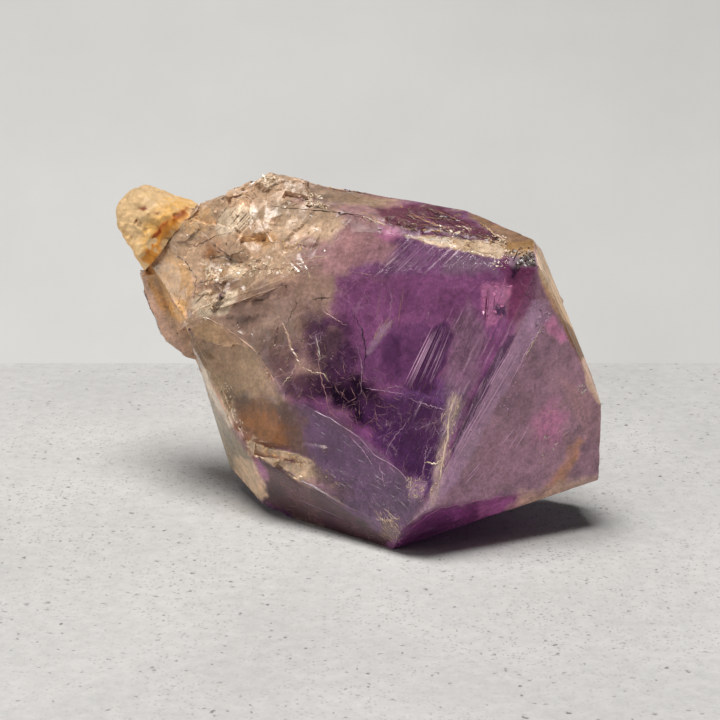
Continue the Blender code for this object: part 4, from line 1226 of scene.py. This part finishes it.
# Veils in the crystal: spot of the picture over them, depth in mm, reach along and across in mm, count,
# colour.
VEILS = (
    ((330, 330), 5.0, (9.0, 14.0), 500, LILAC),
    ((430, 380), 6.0, (12.0, 16.0), 600, LILAC),
    ((300, 250), 4.0, (12.0, 7.0), 500, CREAM),
    ((520, 430), 5.0, (8.0, 12.0), 400, LILAC),
    ((400, 470), 4.0, (10.0, 6.0), 400, CREAM),
    ((250, 370), 4.0, (8.0, 8.0), 350, SMOKE),
)


def amount(name, description, default, unit="NONE"):
    """A number that a user may change."""
    return bpy.props.FloatProperty(name=name, description=description, default=default, unit=unit)


def color_choice(name, description, default):
    """A colour that a user may change."""
    return bpy.props.FloatVectorProperty(
        name=name, description=description, subtype="COLOR", size=3, default=default
    )


class CrystalLook(bpy.types.PropertyGroup):
    """Sizes and colours of the crystal."""

    relief: amount("Growth relief", "Height of the waves on the faces", 0.000025, "LENGTH")
    root_slope: amount("Root slope", "Tilt of the broken grain at the root end", 0.3)
    edge_nick: amount("Edge nicks", "Depth of the nicks along the edges", 0.00028, "LENGTH")
    depth_color: color_choice("Depth colour", "Colour that light takes in the body", (0.62, 0.30, 0.72))
    depth_density: amount("Depth", "How fast the body takes up light, per metre", 45.0)


class NubLook(bpy.types.PropertyGroup):
    """Sizes and colours of the matrix nub."""

    lumps: amount("Lumps", "Height of the fine lumps", 0.00034, "LENGTH")
    stone: color_choice("Stone", "Colour of the clean stone", (0.66, 0.44, 0.22))
    rust: color_choice("Rust", "Colour of the iron seams", (0.30, 0.09, 0.02))


class StageLook(bpy.types.PropertyGroup):
    """Floor, backdrop and light."""

    floor: color_choice("Floor", "Colour of the floor", (0.455, 0.45, 0.44))
    wall: color_choice("Wall", "Colour of the backdrop", (0.685, 0.685, 0.675))
    sky: amount("Sky", "Strength of the light all round", 0.06)
    lamp: amount("Lamp", "Power of the soft lamp", 12.0, "POWER")
    fill: amount("Fill", "Power of the side light", 1.5, "POWER")


class AMETHYST_OT_crystal_skin(bpy.types.Operator):
    """Draw the crystal's surface with relief, nicks and colour zones"""

    bl_idname = "amethyst.crystal_skin"
    bl_label = "Crystal skin"

    def execute(self, context):
        look = context.scene.crystal_look
        places, triangles = split_long(*merged_mesh(CRYSTAL), skin_step)
        places = self.healed(places, triangles)
        normals = corner_normals(places, triangles)
        sharpness = edge_sharpness(places, triangles)
        zoning = Zoning(places, normals)
        broken = self.broken_share(zoning)
        moved = places + normals * self.relief(look, places, sharpness, broken)[:, None]
        sight = Sight(moved, triangles)
        material = crystal_material(look, *self.growth_ways(sight))
        skin = new_piece("crystal_skin", moved, triangles.tolist(), material, sharp=32.0)
        self.paint_looks(skin, zoning, normals, broken)
        self.paint_marks(skin, zoning, sharpness)
        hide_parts(CRYSTAL)
        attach(skin, "root")
        STATE["sight"] = sight
        STATE["film"] = film_material("quartz_film", 0.25, FILM_CLEAR)
        STATE["splinter"] = film_material("quartz_splinter", 0.28, 0.3)
        return {"FINISHED"}

    def healed(self, places, triangles):
        """The places with each healed step filled up to its rim."""
        zoning = Zoning(places, corner_normals(places, triangles))
        sight = Sight(places, triangles)
        for lift, outline, rim in HEALED:
            places = filled(places, zoning, lift, outline, sight.seen(rim)[0])
        return places

    def broken_share(self, zoning):
        """How broken the grain is, 0 to 1: root and patches on the sides behind, zones in the picture."""
        patchy = 0.7 * patches(zoning.places, 16.0, 33, 0.2, 0.2)
        broken = np.maximum(root_share(zoning.places), patchy) * (1.0 - zoning.facing)
        for strength, soft, outline in BROKEN:
            broken = np.maximum(broken, zoning.share(outline, soft) * strength)
        return broken

    def relief(self, look, places, sharpness, broken, highest=0.25, floor=0.02):
        """Height in mm: waves, broken grain up to a highest and nicks at edges; none at the floor."""
        waves = rough_noise(places, 4.0, 31) * look.relief / MM
        shards = places @ np.diag([0.5, 1.0, 1.0])
        grain = broken_grain(shards, 3.4, 41, look.root_slope)
        grain = grain + broken_grain(shards, 1.5, 57, 0.35 * look.root_slope)
        nicks = np.clip(rough_noise(places, 1.7, 51) + 0.25, 0.0, 1.0) * sharpness * look.edge_nick / MM
        return np.where(places[:, 2] < floor, 0.0, waves + np.minimum(grain, highest) * broken - nicks)

    def growth_ways(self, sight):
        """Along, across and out of the clear face's growth lines, and across the band's lines."""
        ends, faces = sight.seen(GROWTH_SPOTS)
        growth = unit(ends[3] - ends[2])
        across_band = unit(np.cross(faces[0], ends[1] - ends[0]))
        return (growth, unit(np.cross(faces[2], growth)), faces[2]), across_band.tolist()

    def paint_looks(self, skin, zoning, normals, broken):
        """Colours made up for the light on each face, then clearness, roughness and broken grain."""
        hidden = 1.0 - zoning.facing
        colors, clear = body_colors(zoning)
        gain = BEHIND_GAIN + (1.0 / light_on(normals, clear) - BEHIND_GAIN) * zoning.facing
        # Painted shade: faces on the sides behind that turn down are painted dark purple.
        below = smooth((-normals[:, 2] - 0.25) / 0.3) * hidden
        paint(skin, "tint", held(mixed(colors * gain[:, None], UNDERSIDE_SHADE, below)))
        dull = np.maximum.reduce([zoning.share(outline, 2) for outline in DULL])
        hazy = np.clip(rough_noise(zoning.places, 5.0, 61), 0.0, 1.0)
        rough = CLEAN_ROUGH + BROKEN_ROUGH * smooth(broken * 4.0) + HAZY_ROUGH * hazy + DULL_ROUGH * dull
        paint(skin, "finish", np.stack([clear, rough, broken], axis=1))

    def paint_marks(self, skin, zoning, sharpness):
        """How strong the band's lines, the face's lines, the pale edges of chipped wear and painted
        highlight, and fine veins are.
        """
        band = zoning.share(BAND, 3)
        face = zoning.share(CLEAR_FACE, 8) * 0.8 + 0.5 * (1.0 - zoning.facing)
        # Painted highlight and wear: sharp edges made paler in patches.
        worn_and_lit_edge = sharpness * patches(zoning.places, 2.2, 63, -0.35, 0.7) * 0.5
        veined = np.full(len(zoning.places), 0.55)
        for strength, soft, outline in VEINED:
            veined = veined + (strength - veined) * zoning.share(outline, soft)
        paint(skin, "marks", np.stack([band, face, worn_and_lit_edge, veined], axis=1))


class AMETHYST_OT_growth_lines(bpy.types.Operator):
    """Lay the fine ridges of growth on the faces"""

    bl_idname = "amethyst.growth_lines"
    bl_label = "Growth lines"

    def execute(self, context):
        rng = np.random.default_rng(3)
        steps = 10
        spots, widths, colors = [], [], []
        for lower, upper, count, cover, width, color in LINE_GROUPS:
            spots.append(hatch(lower, upper, count, cover, rng, steps))
            widths.append(rng.uniform(0.5, 1.2, count)[:, None] * width * taper(steps))
            colors.append(color * rng.uniform(0.7, 1.15, (count, 1)))
        hidden = hidden_spots(420, rng, spread=2.0, steps=steps, way=(0.2, 1.0), length=(2.0, 14.0))
        count = len(hidden[0])
        widths.append(rng.uniform(0.5, 1.2, (count, 1)) * 0.12 * taper(steps))
        colors.append(LILAC * rng.uniform(0.7, 1.2, (count, 1)))
        paths, normals = with_hidden(np.concatenate(spots), hidden)
        widths, colors = np.concatenate(widths), np.concatenate(colors)
        piece = strands("growth_lines", paths, normals, widths, widths * 0.28, colors, STATE["film"])
        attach(piece, "root")
        return {"FINISHED"}


class AMETHYST_OT_healed_cracks(bpy.types.Operator):
    """Lay the healed cracks and the bright lines of painted highlight on broken edges, with their side
    branches
    """

    bl_idname = "amethyst.healed_cracks"
    bl_label = "Healed cracks"

    def execute(self, context):
        rng = np.random.default_rng(5)
        steps, branches = 26, 3
        spots, widths, colors = [], [], []
        for width, color, points in CRACKS:
            line = along_line(points, steps)
            spots.append(line + rng.normal(0.0, 0.45, (steps, 2)))
            widths.append(width * taper(steps) * rng.uniform(0.45, 1.25, steps))
            colors.append(color)
            for _ in range(branches):
                start = line[rng.integers(2, steps - 2)]
                turn = rng.uniform(0.0, 2.0 * math.pi)
                way = np.array([math.cos(turn), math.sin(turn)]) * rng.uniform(3.0, 10.0)
                spots.append(along_line((start, start + way), steps) + rng.normal(0.0, 0.3, (steps, 2)))
                widths.append(0.45 * width * taper(steps) * rng.uniform(0.4, 1.0, steps))
                colors.append(color * 0.9)
        hidden = hidden_spots(
            16, rng, spread=90.0, steps=steps, way=(1.0, 0.3), length=(4.0, 22.0), stray=0.09
        )
        count = len(hidden[0])
        widths = np.concatenate([widths, 0.3 * taper(steps) * rng.uniform(0.45, 1.25, (count, steps))])
        colors = np.concatenate([colors, SAND * rng.uniform(0.6, 1.1, (count, 1))])
        paths, normals = with_hidden(np.array(spots), hidden)
        piece = strands("healed_cracks", paths, normals, widths, widths * 0.25, colors, STATE["film"])
        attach(piece, "root")
        return {"FINISHED"}


class AMETHYST_OT_hair_cracks(bpy.types.Operator):
    """Strew short hair cracks over the faces, with clusters of cream lines as painted glints"""

    bl_idname = "amethyst.hair_cracks"
    bl_label = "Hair cracks"

    def execute(self, context):
        rng = np.random.default_rng(13)
        steps = 8
        spots, widths, colors = hairs(HAIR_GROUPS, rng, steps)
        hidden = hidden_spots(
            420, rng, spread=90.0, steps=steps, way=(1.0, 0.3), length=(0.5, 2.2), stray=0.02
        )
        count = len(hidden[0])
        widths = np.concatenate([widths, 0.1 * taper(steps) * rng.uniform(0.5, 1.4, (count, 1))])
        colors = np.concatenate([colors, LILAC * rng.uniform(0.6, 1.3, (count, 1))])
        paths, normals = with_hidden(spots, hidden)
        piece = strands("hair_cracks", paths, normals, widths, widths * 0.2, colors, STATE["film"])
        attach(piece, "root")
        return {"FINISHED"}


class AMETHYST_OT_splinters(bpy.types.Operator):
    """Scatter small splinters and flakes on the broken parts, the brightest of them painted glints"""

    bl_idname = "amethyst.splinters"
    bl_label = "Splinters"

    def execute(self, context):
        rng = np.random.default_rng(7)
        spots, sizes, colors = [], [], []
        for count, least, most, color, spread, outline in FLAKE_GROUPS:
            found = spots_inside(outline, count, rng)
            spots.append(found[:, None])
            sizes.append(least + (most - least) * rng.uniform(0.0, 1.0, len(found)) ** 2.2)
            colors.append(color * rng.uniform(1.0 - spread, 1.0 + spread, (len(found), 1)))
        places, normals = hidden_spots(900, rng)
        rooted = root_share(places[:, 0]) > 0.5
        hidden = places[rooted], normals[rooted]
        sizes.append(0.12 + 0.4 * rng.uniform(0.0, 1.0, rooted.sum()) ** 2.2)
        colors.append(SAND * rng.uniform(0.6, 1.5, (rooted.sum(), 1)))
        places, normals = (found[:, 0] for found in with_hidden(np.concatenate(spots), hidden))
        sizes, colors = np.concatenate(sizes), np.concatenate(colors)
        piece = plates("splinters", places, normals, sizes, colors, STATE["splinter"], rng)
        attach(piece, "root")
        return {"FINISHED"}


class AMETHYST_OT_inner_veils(bpy.types.Operator):
    """Hang curved veils of tiny inclusions inside the crystal"""

    bl_idname = "amethyst.inner_veils"
    bl_label = "Inner veils"

    def execute(self, context):
        rng = np.random.default_rng(9)
        places, normals, colors = [], [], []
        for spot, depth, (long, short), count, color in VEILS:
            centre, face = (found[0] for found in STATE["sight"].seen([spot]))
            first = unit(np.cross(face, rng.normal(0.0, 1.0, 3)))
            out = unit(face + 0.9 * rng.normal(0.0, 1.0, 3))
            second = np.cross(out, first)
            u, v = rng.normal(0.0, 0.4, (2, count))
            bend = 2.2 * u * u - 1.4 * v * v + 0.5 * u
            place = centre - face * depth + long * u[:, None] * first + short * v[:, None] * second
            places.append(place + bend[:, None] * out)
            normals.append(np.tile(out, (count, 1)))
            colors.append(np.tile(color, (count, 1)))
        places, normals, colors = (np.concatenate(parts) for parts in (places, normals, colors))
        sizes = 0.05 + 0.2 * rng.uniform(0.0, 1.0, len(places)) ** 3
        inside = np.array([self.is_inside(place) for place in places])
        places[~inside] = math.nan
        piece = plates("inner_veils", places, normals, sizes, colors, STATE["film"], rng, tilt=0.3)
        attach(piece, "root")
        return {"FINISHED"}

    def is_inside(self, place, least=0.4):
        """Whether a place is at least so many mm under the skin, by the nearest place on it."""
        near, normal, _, gap = STATE["sight"].tree.find_nearest(Vector(place))
        return gap > least and (Vector(place) - near).dot(normal) < 0.0


class AMETHYST_OT_matrix_nub(bpy.types.Operator):
    """Draw the nub of cream matrix with its lumps, pits and rust"""

    bl_idname = "amethyst.matrix_nub"
    bl_label = "Matrix nub"

    def execute(self, context):
        look = context.scene.nub_look
        places, triangles = split_long(*merged_mesh(NUB), nub_step)
        normals = corner_normals(places, triangles)
        lumps = rough_noise(places, 1.8, 71, 5) * look.lumps / MM
        pits = patches(places, 1.2, 77, 0.3, 0.3) * 0.25
        moved = places + normals * (lumps - pits)[:, None] - self.seating(places)
        nub = new_piece("matrix_nub_skin", moved, triangles.tolist(), nub_material(), sharp=50.0)
        paint(nub, "tint", self.stone_colors(look, Zoning(places, normals), normals))
        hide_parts(NUB)
        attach(nub, "root")
        return {"FINISHED"}

    def seating(self, places):
        """How far the side at the seat moves to close on the crystal: along the seat's own direction."""
        seat_way = unit(np.cross(SEAT[1] - SEAT[0], SEAT[2] - SEAT[0]))
        away = (places - SEAT[0]) @ seat_way
        side = np.sign(np.median(away))
        on_seat = smooth(1.0 - (away * side - 0.15) / 0.6)
        return (side * SEAT_REACH * on_seat)[:, None] * seat_way

    def stone_colors(self, look, zoning, normals):
        """Clean stone with clouds, rust seams behind and the stains of the picture, made up for light."""
        places = zoning.places
        seam = patches(places, 5.0, 81, 0.3, 0.3) * (1.0 - zoning.facing)
        patchy = patches(places, 0.9, 85, -0.3, 0.15)
        colors = np.array(look.stone) * (1.0 + 0.16 * rough_noise(places, 3.0, 83))[:, None]
        colors = mixed(colors, np.array(look.rust), seam)
        for color, strength, soft, outline in NUB_ZONES:
            colors = mixed(colors, color, zoning.share(outline, soft + 1.0) * strength * patchy)
        return held(colors / light_on(normals, 0.0)[:, None])


# Mottling of floor and backdrop: scale, detail, roughness, two levels of the noise and their strengths.
BOARD_CLOUDS = (22.0, 7.0, 0.62, 0.3, 0.7, 0.91, 1.09)
BOARD_GRIT = (420.0, 6.0, 0.75, 0.3, 0.7, 0.9, 1.1)
BACKDROP_CLOUDS = (9.0, 6.0, 0.6, 0.3, 0.7, 0.95, 1.05)

# How far floor and backdrop go to each side, in millimetres.
STAGE_REACH = 1200.0

# Pores of the floor: their colour, then for each size its scale, the least number of a cell that has one,
# width in cells and strength.
PORE_COLOR = (0.1, 0.095, 0.09)
PORES = (
    (330.0, 0.93, 0.14, 0.8),
    (620.0, 0.86, 0.2, 0.6),
    (1500.0, 0.68, 0.36, 0.55),
)


class AMETHYST_OT_stage(bpy.types.Operator):
    """Add the pale floor and backdrop, the soft light and the camera"""

    bl_idname = "amethyst.stage"
    bl_label = "Stage"

    def execute(self, context):
        look = context.scene.stage_look
        self.board(look)
        self.backdrop(look)
        self.light(context, look)
        self.camera(context)
        return {"FINISHED"}

    def carried(self, name, profile, material):
        """A profile of depths and heights in millimetres, carried along X."""
        along = np.linspace(-STAGE_REACH, STAGE_REACH, 13)
        places = np.empty((len(profile), len(along), 3))
        places[..., 0] = along
        places[..., 1:] = profile[:, None]
        index = np.arange(places.shape[0] * places.shape[1]).reshape(places.shape[:2])
        faces = np.stack([index[:-1, :-1], index[:-1, 1:], index[1:, 1:], index[1:, :-1]], axis=-1)
        faces = faces.reshape(-1, 4).tolist()
        new_piece(name, places.reshape(-1, 3), faces, material, sharp=60.0)

    def board(self, look, front=-600.0, edge=82.5, radius=0.8, drop=-14.0):
        """A flat floor that ends behind the crystal in a small rounded edge, in millimetres."""
        flat = np.stack([np.linspace(front, edge, 24), np.zeros(24)], axis=1)
        turn = np.linspace(0.0, math.pi / 2, 9)[1:]
        curve = np.stack([edge + radius * np.sin(turn), radius * np.cos(turn) - radius], axis=1)
        end = np.array([[edge + radius, drop]])
        material, tree, shader = material_with("pale_board", 0.75)
        place = own_place(tree)
        color = mottled(tree, tuple(look.floor), place, *BOARD_CLOUDS)
        color = mottled(tree, color, place, *BOARD_GRIT)
        crooked = bent(tree, place, 900.0, 2.0, (0.0016, 0.0016, 0.0))
        holes = [times(tree, dots(tree, crooked, scale, pick, 0.04, 0.4 * width, width,
                                  voronoi_dimensions="2D"), depth)
                 for scale, pick, width, depth in PORES]
        reach = vector_node(tree, "LENGTH", place, (0.0, 0.0, 0.0), "Value")
        near = ramp(tree, reach, 0.05, 0.11, 1.0, 0.15)
        patch = ramp(tree, noise_of(tree, place, 45.0, 3.0), 0.38, 0.62, 0.25, 1.0)
        holes[2] = times(tree, holes[2], near, patch)
        color = blend(tree, largest(tree, *holes), color, PORE_COLOR)
        tree.links.new(color, shader.inputs["Base Color"])
        self.carried("pale_board", np.concatenate([flat, curve, end]), material)

    def backdrop(self, look, foot=(330.0, -200.0), top=(1530.0, 1000.0)):
        """A slope in millimetres behind and below the floor's edge, leaning back to the light."""
        material, tree, shader = material_with("pale_backdrop", 0.8)
        place = own_place(tree)
        level = node(tree, "SeparateXYZ", {"Vector": place}).outputs["Z"]
        # Painted light: the backdrop is painted 5% brighter at its foot and 7% darker higher up, for light
        # that falls brighter low down.
        color = vector_node(tree, "MULTIPLY", tuple(look.wall), ramp(tree, level, -0.1, 0.02, 1.05, 0.93))
        color = mottled(tree, color, place, *BACKDROP_CLOUDS)
        tree.links.new(color, shader.inputs["Base Color"])
        self.carried("pale_backdrop", np.linspace(foot, top, 9), material)

    def light(self, context, look):
        """A soft lamp above, a weak wide light from the left and an even dim room."""
        world = bpy.data.worlds.new("soft_room")
        world.use_nodes = True
        background = world.node_tree.nodes["Background"]
        background.inputs["Color"].default_value = (1.0, 0.99, 0.985, 1.0)
        background.inputs["Strength"].default_value = look.sky
        context.scene.world = world
        for name, place, power, sides in (("softbox", LAMP_PLACE, look.lamp, LAMP_SIDES),
                                          ("side_fill", FILL_PLACE, look.fill, FILL_SIDES)):
            lamp = bpy.data.lights.new(name, "AREA")
            lamp.energy = power
            lamp.shape = "RECTANGLE"
            lamp.size, lamp.size_y = sides
            lamp.color = (1.0, 0.985, 0.965)
            soft = bpy.data.objects.new(name, lamp)
            context.scene.collection.objects.link(soft)
            aim = (Vector(LIGHT_AIM) - Vector(place)).to_track_quat("-Z", "Y").to_matrix().to_4x4()
            soft.matrix_world = Matrix.Translation(place) @ aim

    def camera(self, context):
        """The picture's own camera, aimed along the view's axes."""
        data = bpy.data.cameras.new("camera")
        data.sensor_width = SENSOR
        data.lens = FOCAL * SENSOR / PICTURE
        data.clip_start = 0.01
        camera = bpy.data.objects.new("camera", data)
        context.scene.collection.objects.link(camera)
        turn = Matrix((RIGHT.tolist(), UP.tolist(), (-FORWARD).tolist())).transposed()
        camera.matrix_world = Matrix.Translation(Vector(EYE * MM)) @ turn.to_4x4()
        context.scene.camera = camera
        context.scene.view_settings.view_transform = "Standard"
        context.scene.cycles.max_bounces = 16
        context.scene.cycles.transmission_bounces = 12


class AMETHYST_PT_panel(bpy.types.Panel):
    """The pieces and their settings"""

    bl_idname = "AMETHYST_PT_panel"
    bl_label = "Raw Amethyst Point"
    bl_space_type = "VIEW_3D"
    bl_region_type = "UI"
    bl_category = "Amethyst"

    def draw(self, context):
        for label in LOOKS:
            look = getattr(context.scene, label)
            box = self.layout.box()
            for name in look.bl_rna.properties.keys():
                if name not in ("rna_type", "name"):
                    box.prop(look, name)
        for step in STEPS:
            self.layout.operator(step.bl_idname)


STEPS = (
    AMETHYST_OT_stage,
    AMETHYST_OT_crystal_skin,
    AMETHYST_OT_growth_lines,
    AMETHYST_OT_healed_cracks,
    AMETHYST_OT_hair_cracks,
    AMETHYST_OT_splinters,
    AMETHYST_OT_inner_veils,
    AMETHYST_OT_matrix_nub,
)
LOOKS = {"crystal_look": CrystalLook, "nub_look": NubLook, "stage_look": StageLook}


def register():
    """Makes the settings, the steps and the panel known."""
    for kind in (*LOOKS.values(), *STEPS, AMETHYST_PT_panel):
        bpy.utils.register_class(kind)
    for label, kind in LOOKS.items():
        setattr(bpy.types.Scene, label, bpy.props.PointerProperty(type=kind))


def unregister():
    """Takes the settings, the steps and the panel away again."""
    for label in LOOKS:
        delattr(bpy.types.Scene, label)
    for kind in (AMETHYST_PT_panel, *reversed(STEPS), *LOOKS.values()):
        bpy.utils.unregister_class(kind)


def main():
    """Registers the steps and draws every piece in order."""
    register()
    for step in STEPS:
        group, name = step.bl_idname.split(".")
        getattr(getattr(bpy.ops, group), name)()


if __name__ == "__main__":
    main()
